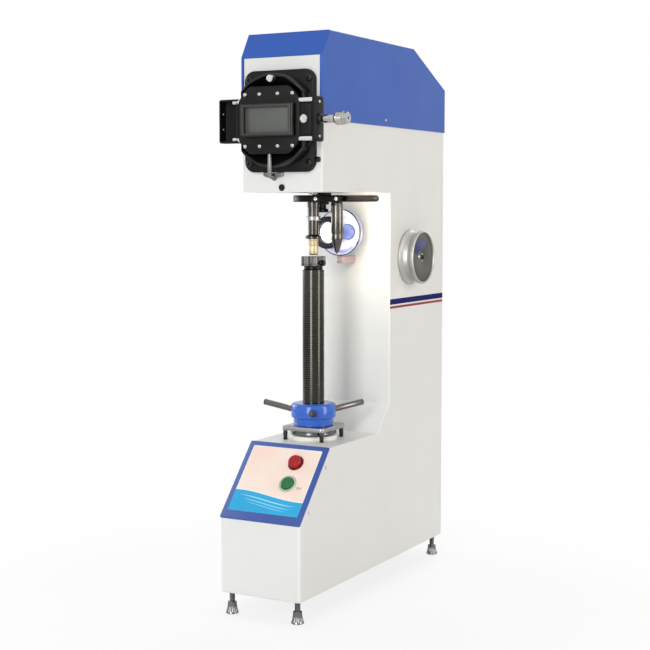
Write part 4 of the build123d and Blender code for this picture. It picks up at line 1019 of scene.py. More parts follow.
# ---------------------------------------------------------------- sub-assemblies
@dataclass
class Cabinet:
    """Welded and filled sheet cabinet with its hood, covers, stripes and screws."""

    half: float = 72.5
    throat: float = 137.4
    back: float = 358.0
    blue_stripe: Span = (478.2, 487.6)
    red_stripe: Span = (471.3, 475.4)
    stripe_lift: float = 0.12

    def build(self) -> None:
        """Paint the sheet metal, then add stripes, screws and the plug."""
        repaint(Finishes.WHITE, "cabinet", "rear_cover")
        repaint(Finishes.GREY_PAINT, "base_plate")
        repaint(Finishes.BLUE, "hood")
        repaint(Finishes.BLACK_PLASTIC, "power_inlet")
        self.stripes()
        self.screws()

    def stripes(self) -> None:
        """Lay the blue and the red stripe on both sides of the column."""
        for side in Side:
            for label, (low, high), finish in (
                ("blue", self.blue_stripe, Finishes.BLUE_STRIPE),
                ("red", self.red_stripe, Finishes.RED_STRIPE),
            ):
                near = side.value * (self.half - 0.2)
                far = side.value * (self.half + self.stripe_lift)
                start = (min(near, far), self.throat + 1, low)
                end = (max(near, far), self.back - 2, high)
                stripe = slab(f"stripe_{label}_{side.name.lower()}", start, end, 0.05, 1)
                dress(stripe, "cabinet", finish)

    def screws(self) -> None:
        """Set the screws of the hood, the base and the rear cover, and the plug in the head."""
        button = Fastener(2.6, 1.4, slot=0.7)
        hood_side = [(74.0, 115.9, 789.2)]
        base_side = [(72.5, -91.3, 234.5), (72.5, -146.3, 172.8)]
        for side in Side:
            places = [(side.value * x, y, z) for x, y, z in hood_side + base_side]
            turn = (Facing.RIGHT if side is Side.RIGHT else Facing.LEFT).value
            heads = copies(button.head("side_screw"), places, f"side_screws_{side.name.lower()}", turn)
            dress(heads, "cabinet", Finishes.FASTENER)
        low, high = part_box("rear_cover")
        inset = 5.0
        xs = (low.x / MM + inset, high.x / MM - inset)
        zs = [low.z / MM + inset + (high.z - low.z) / MM * part - 2 * inset * part for part in (0, 1 / 3, 2 / 3, 1)]
        places = [(x, high.y / MM, z) for x in xs for z in zs]
        heads = copies(button.head("cover_screw"), places, "cover_screws", Facing.BACK.value)
        dress(heads, "cabinet", Finishes.FASTENER)
        plug = turned(
            "head_plug", ((0, -1), (5.4, -1), (5.4, 0.9), (4.4, 1.6), (2.2, 1.6), (1.8, 0.6), (0, 0.6)),
            (0, -101.0, 675.0), Facing.FRONT, steps=32, edge=0.2
        )
        dress(plug, "cabinet", Finishes.BLACK_SATIN)


@dataclass
class Feet:
    """Four fluted levelling feet on threaded studs."""

    radius: float = 10.0
    neck: float = 7.0
    bell: float = 19.0
    stud: float = 4.5
    top: float = 50.0
    flutes: int = 24

    def build(self) -> None:
        """Turn one foot and copy it to the four corners."""
        for name, x, y in (
            ("foot_front_left", -60, -158),
            ("foot_front_right", 60, -158),
            ("foot_rear_left", -60, 344),
            ("foot_rear_right", 60, 344),
        ):
            bell = turned(
                name + "_bell",
                (
                    (0, 0), (self.radius - 0.6, 0), (self.radius, 0.8), (self.radius, 2.2), (9.2, 4.2), (8.4, 7.0),
                    (7.6, 11.0), (7.15, 15.0), (self.neck, self.bell), (0, self.bell),
                ),
                steps=2 * self.flutes,
                edge=0,
            )
            knurl(bell, (0, 0, 0), AXIS_Z, 2.0, 15.2, 2 * self.flutes, pitch=1.0, depth=0.07, crossed=False)
            settle(bell, (x, y, 0))
            dress(smooth(bell, 60), name, Finishes.FOOT, (name,))
            pitch = 1.25
            points = [(0.0, self.bell - 1)]
            z = self.bell - 1
            while z < self.top - pitch:
                points += [(self.stud, z), (self.stud, z + pitch * 0.3), (self.stud - 0.6, z + pitch * 0.65)]
                z += pitch
            points += [(self.stud - 0.6, self.top), (0.0, self.top)]
            stud = turned(name + "_stud", points, (x, y, 0), steps=24, edge=0)
            dress(stud, name, Finishes.STUD)


@dataclass
class ControlPanel:
    """Sloped panel with its printed foil and two push buttons."""

    slope: float = atan2(108.5, 97.8)
    foot: float = 155.0
    front: float = -173.0
    length: float = hypot(108.5, 97.8)
    width: float = 145.0
    thick: float = 3.0
    button_x: float = 24.5
    red_up: float = 111.0
    green_up: float = 72.0
    line_width: float = 1.5
    foil: float = 0.06
    margins: tuple[float, float, float] = (9.0, 15.5, 9.0)

    def spot(self, across: float, rise: float, out: float) -> Place:
        """Find a place on the panel in the tester's frame.

        Args:
            across: Distance from the middle line to the right, in millimetres.
            rise: Distance up the slope from its lower edge.
            out: Distance out of the slope.

        Returns:
            The place in millimetres.
        """
        y = self.front + rise * cos(self.slope) - out * sin(self.slope)
        z = self.foot + rise * sin(self.slope) + out * cos(self.slope)
        return across, y, z

    def build(self) -> None:
        """Lay the plate and its printed foils, then set the switches and the word beside one."""
        self.foils()
        self.switch("red", self.red_up, 9.6, Finishes.RED_PLASTIC, Finishes.RED_RIM, 2.2)
        self.switch("green", self.green_up, 6.0, Finishes.GREEN_PLASTIC, Finishes.PALE_RIM, 4.0)
        label = letters(
            "ON", 4.0, 0.08, "label_on", self.spot(self.button_x + 22, self.green_up - 6, self.thick + 0.16),
            (self.slope, 0.0, 0.0),
        )
        dress(label, "cabinet", Finishes.LABEL_INK)

    def foils(self) -> None:
        """Stack the plate, the white line, the pale field, the band and its streaks, and bore them."""
        side, low, high = self.margins
        half = self.length / 2
        border = rounded_outline(self.width / 2, half - 0.75, 2.0)
        sheets = [("panel_foil", border, 0.0, self.thick, Finishes.PANEL_BORDER)]
        for name, inset, finish in (
            ("panel_line", 0.0, Finishes.PANEL_LINE), ("panel_field", self.line_width, Finishes.PANEL_FIELD)
        ):
            middle = (low - high) / 2
            wide, tall = self.width / 2 - side - inset, half - (low + high) / 2 - inset
            outline = [(x, y + middle) for x, y in rounded_outline(wide, tall, 2.0 - inset)]
            sheets.append((name, outline, len(sheets) - 1, self.foil, finish))
        wide, floor = self.width / 2 - side, low - half
        sheets.append(("panel_glow", self.wave(wide, floor, 1.6, 0.0), 2, self.foil, Finishes.PANEL_LINE))
        sheets.append(("panel_band", self.wave(wide, floor, 0.0, 0.0), 3, self.foil, Finishes.PANEL_BAND))
        for index, (drop, width) in enumerate(((8.0, 2.0), (14.5, 1.4), (19.5, 0.9))):
            ribbon = self.wave(wide - 4 - 7 * (index + 1), None, -drop, width)
            sheets.append((f"panel_streak_{index}", ribbon, 4, self.foil, Finishes.PANEL_STREAK))
        turn = (self.slope, 0.0, 0.0)
        for name, outline, layer, thick, finish in sheets:
            out = 0.0 if thick == self.thick else self.thick + layer * self.foil
            edge = 0.5 if thick == self.thick else 0.0
            sheet = plate(name, outline, thick, self.spot(0, half, out), turn, edge)
            for rise in (self.red_up, self.green_up):
                hole = turned("hole", pin(13.6, -9, 9), (0, 0, 0), steps=48, edge=0)
                carve(sheet, settle(hole, self.spot(self.button_x, rise, 0), turn))
            stands_for = ("panel_plate",) if thick == self.thick else ()
            dress(smooth(sheet), "cabinet", finish, stands_for)

    def wave(self, wide: float, floor: float | None, lift: float, width: float) -> list[Span]:
        """Outline of a band with a slowly swept upper edge, from the panel's middle.

        Args:
            wide: Half the width of the band in millimetres.
            floor: Height of its straight lower edge, where it has one.
            lift: Height of its upper edge over the main sweep.
            width: Its thickness where both its edges are swept.

        Returns:
            The points in order.
        """
        upper = []
        for step in range(29):
            x = -wide + 2 * wide * step / 28
            upper.append((x, -26.0 - 6.0 * sin(pi * x / 112) + lift))
        if floor is not None:
            return [(-wide, floor), (wide, floor), *reversed(upper)]
        taper = [width * (1 - abs(2 * step / 28 - 1) ** 3) + 0.05 for step in range(29)]
        return [(x, y - t) for (x, y), t in zip(upper, taper)] + upper[::-1]

    def switch(
        self, name: str, rise: float, height: float, finish: Finish, rim_finish: Finish, rim_width: float
    ) -> None:
        """Model one push button, the rim that it slides in, and the barrel and contact block behind.

        Args:
            name: Colour of the button.
            rise: Its place up the panel in millimetres.
            height: How far it stands above the panel.
            finish: Finish of the button.
            rim_finish: Finish of the rim.
            rim_width: How far the flat rim reaches beyond the button.
        """
        turn = (self.slope, 0.0, 0.0)
        spot = self.spot(self.button_x, rise, 0)
        top = self.thick + height
        button = turned(
            name + "_button_cap",
            ((0, -9), (10.7, -9), (10.7, top - 2.4), (9.6, top - 0.5), (7.6, top), (5.0, top - 0.35), (0, top - 0.5)),
            steps=56, edge=0.5,
        )
        dress(settle(button, spot, turn), name + "_button", finish, (name + "_button",))
        out = 11.3 + rim_width
        rim = turned(
            name + "_rim",
            (
                (11.3, -4), (13.4, -4), (13.4, self.thick + 0.2), (out, self.thick + 0.2),
                (out - 0.2, self.thick + 1.0), (out - 0.9, self.thick + 1.7), (11.3, self.thick + 1.5),
            ),
            steps=56, edge=0.3, closed=True,
        )
        dress(settle(rim, spot, turn), "cabinet", rim_finish, ("button_switches",))
        block = plate(name + "_contact_block", rounded_outline(15, 15, 2.0), 21.6, (0, 0, -28.2), edge=0.8)
        lid = plate("lid", rounded_outline(12.6, 12.6, 1.0), 1.2, (0, 0, -29.2), edge=0.3)
        bore = turned("bore", pin(11.4, -14.6, 9), steps=48, edge=0)
        block = join([carve(block, bore), lid], name + "_contact_block")
        dress(settle(smooth(block), spot, turn), "cabinet", Finishes.BLACK_PLASTIC)


@dataclass
class ElevatingScrew:
    """Trapezoidal screw with its keyway, and the anvil that it raises."""

    radius: float = 18.0
    root: float = 17.1
    pitch: float = 3.0
    starts: int = 2
    low: float = 246.0
    top: float = 541.9
    anvil_low: float = 548.4
    anvil_top: float = 564.5
    key_top: float = 465.5

    def build(self) -> None:
        """Cut the thread, then make the nose, the anvil and its screw."""
        self.thread()
        self.nose()
        self.anvil()

    def thread(self) -> None:
        """Wind the thread's form up the screw, cut its ends square and mill the keyway."""
        p, lead = self.pitch, self.pitch * self.starts
        ridge = ((self.root, 0.1), (self.radius, 0.22), (self.radius, 0.84), (self.root, 0.96))
        form = [
            (self.root, 0), *((r, p * (start + part)) for start in range(self.starts) for r, part in ridge),
            (self.root, lead)
        ]
        piece = chain("elevating_screw_thread", form, False)
        turns = ceil((self.top - self.low) / lead) + 2
        modify(
            piece, "SCREW", angle=2 * pi, screw_offset=lead * MM, iterations=turns, steps=40, render_steps=40,
            use_merge_vertices=True, merge_threshold=MERGE, use_smooth_shade=False,
        )
        settle(piece, (0, 0, self.low - lead))
        take(piece)
        for height, side in ((self.low, "clear_inner"), (self.top, "clear_outer")):
            open_up()
            bpy.ops.mesh.bisect(plane_co=(0, 0, height * MM), plane_no=(0, 0, 1), use_fill=True, **{side: True})
            bpy.ops.object.mode_set(mode="OBJECT")
        close_up(piece)
        carve(piece, slab("key_cutter", (-3.05, 14.0, self.low - 5), (3.05, 19.0, self.key_top), 0))
        dress(smooth(piece, 25), "screw", Finishes.THREAD, ("elevating_screw",))

    def nose(self) -> None:
        """Turn the screw's nose, bored for the anvil's spigot."""
        low, top = self.top - 1, self.anvil_low
        profile = (
            (8.1, top - 8), (8.1, top - 0.6), (8.7, top), (14.9, top), (15.5, top - 0.6), (15.5, low + 1.8),
            (14.6, low + 1.2), (14.6, low - 2)
        )
        nose = turned("screw_nose", profile, steps=64, edge=0.2, closed=True)
        dress(nose, "screw", Finishes.NOSE)

    def anvil(self) -> None:
        """Grind the square anvil, with its spigot, and set the clamp screw in its side."""
        table = slab("anvil_table", (-15, -15, self.anvil_low), (15, 15, self.anvil_top), 1.2)
        for near, far in ((-17.6, -14.4), (14.4, 17.6)):
            carve(table, slab("groove", (near, -20, 552.3), (far, 20, 553.1), 0))
            carve(table, slab("groove", (-20, near, 552.3), (20, far, 553.1), 0))
        # the anvil's pale and black bars are painted highlights
        dress(smooth(table), "screw", Finishes.ANVIL_PAINTED_HIGHLIGHTS, ("anvil",))
        spigot = turned(
            "anvil_spigot", ((0, 531), (7.4, 531), (7.95, 531.8), (7.95, 549), (0, 549)), steps=40, edge=0.2
        )
        dress(spigot, "screw", Finishes.BRIGHT_STEEL)
        z = self.anvil_low + 5.0
        clamp = turned(
            "anvil_clamp",
            (
                (0, -6), (2.3, -6), (2.3, 0.3), (4.7, 0.3), (4.7, 1.4), (4.7, 2.4), (4.7, 3.4), (4.7, 4.4), (4.7, 5.2),
                (4.0, 6), (0, 6)
            ),
            (15, 0, z), Facing.RIGHT, steps=36, edge=0,
        )
        knurl(clamp, (15, 0, z), AXIS_X, 1.3, 4.5, 36, pitch=1.0, depth=0.08, crossed=False)
        dress(smooth(clamp), "screw", Finishes.BLACK_OXIDE, ("anvil_clamp_screw",))


@dataclass
class Handwheel:
    """Blue hub with three spokes on its thrust bearing, and the plate and studs under it."""

    low: float = 286.0
    step: float = 13.0
    height: float = 36.7
    hub_low: float = 33.0
    hub: float = 37.0
    bore: float = 18.2
    spoke_turn: float = 28.8
    spoke_tilt: float = 8.7
    spoke_root: float = 24.0
    spoke_reach: float = 95.0
    spoke_rise: float = 21.0
    studs: Span = (-34.0, 34.0)

    def build(self) -> None:
        """Make the hub, the spokes and what carries them."""
        self.hub_and_spokes()
        self.bearing()

    def hub_and_spokes(self) -> None:
        """Turn the hub with its soft shoulder, and set three drawn spokes in spot-faced seats."""
        low, top = self.low, self.low + self.height
        step = low + self.step
        profile = (
            (self.bore, low + 0.3), (self.hub_low - 0.8, low + 0.3), (self.hub_low, low + 1.1),
            (self.hub_low, step - 0.6), (self.hub_low + 1.2, step), (self.hub - 1.4, step), (self.hub, step + 1.4),
            (self.hub, top - 4.2), (self.hub - 1.0, top - 2.0), (self.hub - 3.0, top - 0.5), (self.hub - 5.5, top),
            (self.bore + 1.2, top), (self.bore, top - 1.2),
        )
        hub = turned("handwheel_hub_body", profile, steps=80, edge=0.6, closed=True)
        length = (self.spoke_reach - self.spoke_root) / cos(radians(self.spoke_tilt))
        rods, caps = [], []
        for index in range(3):
            turn = radians(self.spoke_turn + index * 120)
            root = (self.spoke_root * sin(turn), -self.spoke_root * cos(turn), low + self.spoke_rise - 0.46)
            lean = (radians(90 - self.spoke_tilt), 0, turn)
            seat = turned("seat", pin(7.6, 11.2, 24), steps=40, edge=0)
            carve(hub, settle(seat, root, lean))
            profile = ((0, 0), (5, 0), (5, length - 1.2), (4.7, length - 0.4), (3.6, length), (0, length))
            rods.append(settle(turned("rod", profile, steps=32, edge=0.3), root, lean))
            rise, end = length - 2.0, length + 0.6
            profile = ((0, rise), (5.15, rise), (5.15, length - 0.6), (4.2, length + 0.2), (0, end))
            caps.append(settle(turned("cap", profile, steps=32, edge=0.2), root, lean))
        dress(smooth(hub), "handwheel", Finishes.HUB_BLUE, ("handwheel_hub",))
        dress(join(rods, "handwheel_rods"), "handwheel", Finishes.SPOKE, ("handwheel_spokes",))
        dress(join(caps, "handwheel_rod_caps"), "handwheel", Finishes.DARK_STEEL)

    def bearing(self) -> None:
        """Make the thrust plate, the bearing's ring and the four studs with their nuts."""
        low = self.low - 7
        bore = turned("bore", pin(20, -9, 20), (0, 0, low), steps=64, edge=0)
        thrust = plate("thrust_plate_body", rounded_outline(39, 39, 5.5), 7.0, (0, 0, low), edge=0.8)
        dress(smooth(carve(thrust, bore)), "cabinet", Finishes.PLATE_STEEL, ("thrust_plate",))
        ring = turned(
            "bearing_ring",
            (
                (20, low - 8.5), (35.5, low - 8.5), (38, low - 6.5), (38, low - 3.6), (36.8, low - 3.2),
                (36.8, low - 1.6), (38, low - 1.2), (38, low + 0.2), (20, low + 0.2)
            ),
            steps=72, edge=0.3, closed=True,
        )
        dress(ring, "cabinet", Finishes.RING_STEEL, ("bearing_housing",))
        boss = turned(
            "bearing_boss", ((20.4, 262.6), (39.6, 262.6), (39.6, 267.4), (38.0, 269.6), (36.6, 270.2), (20.4, 270.2)),
            steps=80, edge=0.4, closed=True,
        )
        places = [(x, y, 0) for x in self.studs for y in self.studs]
        wells = [turned("well", pin(4.3, 262, 272), place, steps=24, edge=0) for place in places]
        # the boss's white is brighter than the cabinet's: painted light, as the ring sits in shade under the bearing
        dress(smooth(carve(boss, *wells)), "cabinet", Finishes.BOSS_PAINTED_LIGHT_WHITE)
        stud = turned("stud", pin(3.5, 263.4, 279.2), steps=24, edge=0.2)
        nut = turned(
            "nut", ((0, 271.0), (3.8, 271.0), (4.1, 271.4), (4.1, 275.5), (3.8, 275.9), (0, 275.9)), steps=6, edge=0.15
        )
        both = join([stud, nut], "stud")
        dress(
            copies(smooth(both), places, "jack_stud_set"), "cabinet", Finishes.DARK_STEEL, ("jack_studs",),
        )


@dataclass
class Turret:
    """Turret disc with its handle, the objective on the test axis and the indenter beside it."""

    y: float = TURRET_Y
    low: float = 652.9
    top: float = 663.9
    radius: float = 47.0
    station: float = TURRET_Y

    def build(self) -> None:
        """Make the disc, the pivot, the objective and the indenter."""
        self.disc()
        self.pivot()
        self.objective()
        self.indenter()

    def disc(self) -> None:
        """Turn the disc with its bores and grub screws, and screw the handle into its rim."""
        r = self.radius
        profile = (
            (0, self.low), (r - 0.9, self.low), (r, self.low + 0.9), (r, self.top - 3.2), (r - 0.5, self.top - 2.9),
            (r - 0.5, self.top - 2.3), (r, self.top - 2.0), (r, self.top - 0.9), (r - 0.9, self.top), (0, self.top),
        )
        disc = turned("turret_plate", profile, (0, self.y, 0), steps=96, edge=0.2)
        bores = []
        for x, y, bore in ((0, 0, 5.0), (self.station, self.y, 5.1), (0, self.y, 8.1)):
            tool = pin(bore, self.low - 3, self.top + 3)
            bores.append(turned("bore", tool, (x, y, 0), steps=32, edge=0))
        dress(smooth(carve(disc, *bores)), "turret", Finishes.TURRET_BLACK, ("turret_disc",))
        grubs = []
        for angle in (-74, -32, -148, 106):
            screw = Fastener(3.0, 1.0, socket=1.4).head("grub")
            turn = radians(angle)
            spot = ((r - 0.3) * cos(turn), self.y + (r - 0.3) * sin(turn), (self.low + self.top) / 2 - 0.5)
            grubs.append(settle(screw, spot, (pi / 2, 0, turn + pi / 2)))
        dress(join(grubs, "turret_grub_screws"), "turret", Finishes.FASTENER)
        middle = (self.low + self.top) / 2
        grip = turned(
            "turret_grip",
            (
                (0, -2), (4.6, -2), (4.6, 1.6), (5.2, 2.2), (5.5, 3.6), (5.5, 50.2), (5.3, 53.6), (4.6, 56.0),
                (3.2, 57.3), (1.6, 57.7), (0, 57.7),
            ),
            (self.radius, self.y, middle), Facing.RIGHT, steps=40, edge=0.2,
        )
        dress(grip, "turret", Finishes.GRIP, ("turret_handle",))

    def pivot(self) -> None:
        """Turn the pivot with its washers, and put the locknut under them."""
        low = self.low - 17.2
        profile = (
            (0, low + 4), (7.5, low + 4), (7.5, self.low - 4.4), (11.6, self.low - 4.2), (12.3, self.low - 3.6),
            (12.3, self.low - 0.2), (8.0, self.low - 0.2), (8.0, self.top + 0.2), (16, self.top + 0.2), (16, 668.2),
            (8.0, 668.2), (8.0, 686.0), (0, 686.0),
        )
        pivot = turned("turret_pivot", profile, (0, self.y, 0), steps=48, edge=0.25)
        dress(pivot, "cabinet", Finishes.DARK_STEEL, ("turret_spindle",))
        nut = turned(
            "turret_nut",
            ((0, low), (10.6, low), (12.2, low + 1), (12.2, low + 5.4), (10.8, low + 6.2), (0, low + 6.2)),
            (0, self.y, 0), steps=6, edge=0.25,
        )
        dress(nut, "cabinet", Finishes.DARK_STEEL)

    def objective(self) -> None:
        """Turn the objective's barrel with its knurled ring, and the mount of the front lens."""
        low = self.low - 59.9
        ring = self.low - 30.5
        profile = [
            (4.9, low), (12.8, low), (13.4, low + 0.6), (13.4, low + 3.6), (12.6, low + 4.4), (9.6, low + 6.2),
            (8.8, low + 8.0), (8.8, low + 13.0), (8.3, low + 13.3), (8.3, low + 14.2), (8.8, low + 14.5), (8.8, ring),
            (9.8, ring + 0.4), (9.8, ring + 7.2), (9.4, ring + 7.6), (9.4, self.low - 9.0), (10.4, self.low - 8.6),
            (10.4, self.low - 1.0), (9.6, self.low - 0.6), (9.6, self.low), (4.9, self.low),
        ]
        barrel = turned("objective_tube", profile, steps=72, edge=0, closed=True)
        dress(smooth(barrel, 30), "turret", Finishes.OBJECTIVE, ("objective_barrel",))
        rows = [(11.6, ring + 0.9 + 0.725 * row) for row in range(9)]
        sleeve = [
            (9.6, ring), (11.0, ring), (11.6, ring + 0.5), *rows, (11.6, ring + 7.1), (11.0, ring + 7.6),
            (9.6, ring + 7.6)
        ]
        grip = turned("objective_grip_ring", sleeve, steps=72, edge=0, closed=True)
        knurl(grip, (0, 0, 0), AXIS_Z, ring + 0.9, ring + 6.7, 72, pitch=0.725, depth=0.035)
        dress(smooth(grip, 30), "turret", Finishes.BRIGHT_STEEL)
        bottom = low - 26.9
        nose = turned(
            "objective_front",
            (
                (0, bottom + 1.4), (4.4, bottom + 1.0), (4.4, bottom), (6.4, bottom), (7.4, bottom + 1.2),
                (8.0, bottom + 3.0), (8.0, low - 12.4), (7.6, low - 12.1), (7.6, low - 11.3), (8.0, low - 11.0),
                (8.0, low - 3.0), (8.4, low - 2.6), (8.7, low - 2.0), (8.7, low), (0, low),
            ),
            steps=56, edge=0.15,
        )
        dress(nose, "turret", Finishes.NOSE_BRASS, ("objective_nose",))
        lens = turned(
            "objective_lens",
            ((0, bottom + 0.7), (2.4, bottom + 0.9), (4.3, bottom + 1.6), (4.3, bottom + 3), (0, bottom + 3)),
            steps=40, edge=0,
        )
        dress(lens, "turret", Finishes.LENS)

    def indenter(self) -> None:
        """Turn the indenter's holder and the diamond's cone."""
        s, low = self.station, self.low - 61.7
        top = self.low - 0.2
        holder = turned(
            "indenter_sleeve",
            (
                (0, low), (9.2, low), (9.9, low + 0.8), (9.9, low + 9.0), (9.5, low + 9.3), (9.5, low + 10.1),
                (9.9, low + 10.4), (9.9, top - 0.6), (9.3, top), (5.0, top), (5.0, self.top - 0.2), (0, self.top - 0.2),
            ),
            (s, self.y, 0), steps=56, edge=0.15,
        )
        dress(holder, "indenter", Finishes.HOLDER, ("indenter_holder",))
        tip = low - 23.5
        cone = turned(
            "indenter_cone",
            (
                (0, tip), (0.7, tip + 0.5), (1.6, tip + 1.2), (1.6, tip + 2.0), (3.8, tip + 3.6), (5.6, tip + 10.5),
                (9.3, low - 1.2), (9.8, low - 0.4), (9.8, low + 0.1), (0, low + 0.1),
            ),
            (s, self.y, 0), steps=48, edge=0.15,
        )
        dress(cone, "indenter", Finishes.CONE, ("diamond_indenter",))


@dataclass
class Lamp:
    """Lit lamp in its reflector on the column, over a small bracket."""

    z: float = LAMP_Z
    column: float = 137.4
    rim_y: float = 90.7
    dish: float = 40.0
    ring_front: float = 43.5

    def build(self) -> None:
        """Spin the reflector, make the holder, the lens and the bracket."""
        self.reflector()
        self.holder()
        bracket = slab("lamp_bar", (-6, self.column - 46.0, 549.0), (6, self.column + 0.5, 561.4), 1.4)
        dress(bracket, "cabinet", Finishes.TAN_PAINT, ("lamp_bracket",))
        for side in (-1, 1):
            screw = Fastener(2.4, 1.2, socket=1.2).head("bar_screw")
            settle(screw, (side * 3.2, self.column - 46.0, 555.1), Facing.FRONT.value)
            dress(screw, "cabinet", Finishes.FASTENER)

    def reflector(self) -> None:
        """Spin the bowl from sheet, with a rolled rim, a dark band inside it and its two screws."""
        back = self.column - 15.4
        front = back - self.rim_y
        depth = (0.0, 0.03, 0.10, 0.2, 0.32, 0.46, 0.62, 0.8, 1.0)
        width = (0.0, 0.26, 0.46, 0.62, 0.74, 0.84, 0.915, 0.965, 1.0)
        outer = [(16.0 + (self.dish - 17.0) * w, front * d) for w, d in zip(width, depth)]
        inner = [(max(r - 1.0, 12.1), h + 0.9) for r, h in outer[:-1]]
        rolled = [
            (self.dish - 0.3, front - 0.6), (self.dish, front), (self.dish - 0.4, front + 0.7),
            (self.dish - 1.3, front + 0.8)
        ]
        profile = [(12.1, 0.0), *outer[:-1], *rolled, *reversed(inner)]
        bowl = turned("reflector_bowl", profile, (0, back, self.z), Facing.FRONT, steps=96, edge=0, closed=True)
        dress(smooth(bowl, 50), "cabinet", Finishes.REFLECTOR, ("lamp_dish",))
        band = [
            (self.dish - 2.2, front - 2.6), (self.dish - 0.1, front - 2.6), (self.dish - 0.1, front + 0.9),
            (self.dish - 1.8, front + 0.9)
        ]
        rim = turned("reflector_rim", band, (0, back, self.z), Facing.FRONT, steps=96, edge=0.2, closed=True)
        dress(rim, "cabinet", Finishes.RIM_BLUE)
        screws = []
        for angle in (-40, 140):
            screw = Fastener(2.2, 1.2, socket=1.1).head("dish_screw")
            turn = radians(angle)
            spot = (29.0 * cos(turn), back - 7.5, self.z + 29.0 * sin(turn))
            screws.append(settle(screw, spot, Facing.FRONT.value))
        dress(join(screws, "reflector_screws"), "cabinet", Finishes.BLACK_OXIDE)

    def holder(self) -> None:
        """Turn the stepped holder and its dark ring, and seat the lit lens in it."""
        reach = self.column - self.ring_front
        back = reach - 14.5
        base = (
            (0, 0), (19.4, 0), (20, 0.6), (20, 3.4), (19.4, 4), (14, 4), (14, 15.4), (13.6, 15.9), (12, 15.9),
            (12, back + 0.4), (0, back + 0.4),
        )
        neck = turned("lamp_neck", base, (0, self.column, self.z), Facing.FRONT, steps=64, edge=0.2)
        # the neck's violet-blue is painted reflection of the blue paint in the bowl
        dress(neck, "cabinet", Finishes.NECK_PAINTED_BLUE_REFLECTION, ("lamp_holder",))
        ring = (
            (0, back), (26.2, back), (27, back + 0.8), (27, back + 3.4), (26.4, back + 3.8), (26.4, back + 4.6),
            (27, back + 5.0), (27, reach - 1.2), (26.2, reach - 0.3), (25.0, reach), (19.6, reach), (18.2, reach - 0.8),
            (17.6, reach - 2.0), (17.6, reach - 12.9), (0, reach - 12.9),
        )
        body = turned("lamp_body", ring, (0, self.column, self.z), Facing.FRONT, steps=72, edge=0.2)
        dress(body, "cabinet", Finishes.LAMP_BLUE_BLACK, ("lamp_holder",))
        lens = turned(
            "lamp_front_lens",
            (
                (0, reach - 13.0), (17.4, reach - 13.0), (17.4, reach - 10.4), (14.5, reach - 8.6), (10.0, reach - 7.2),
                (5.0, reach - 6.4), (0, reach - 6.2)
            ),
            (0, self.column, self.z), Facing.FRONT, steps=64, edge=0,
        )
        dress(smooth(lens, 60), "cabinet", Finishes.LIT_LENS, ("lamp_lens",))


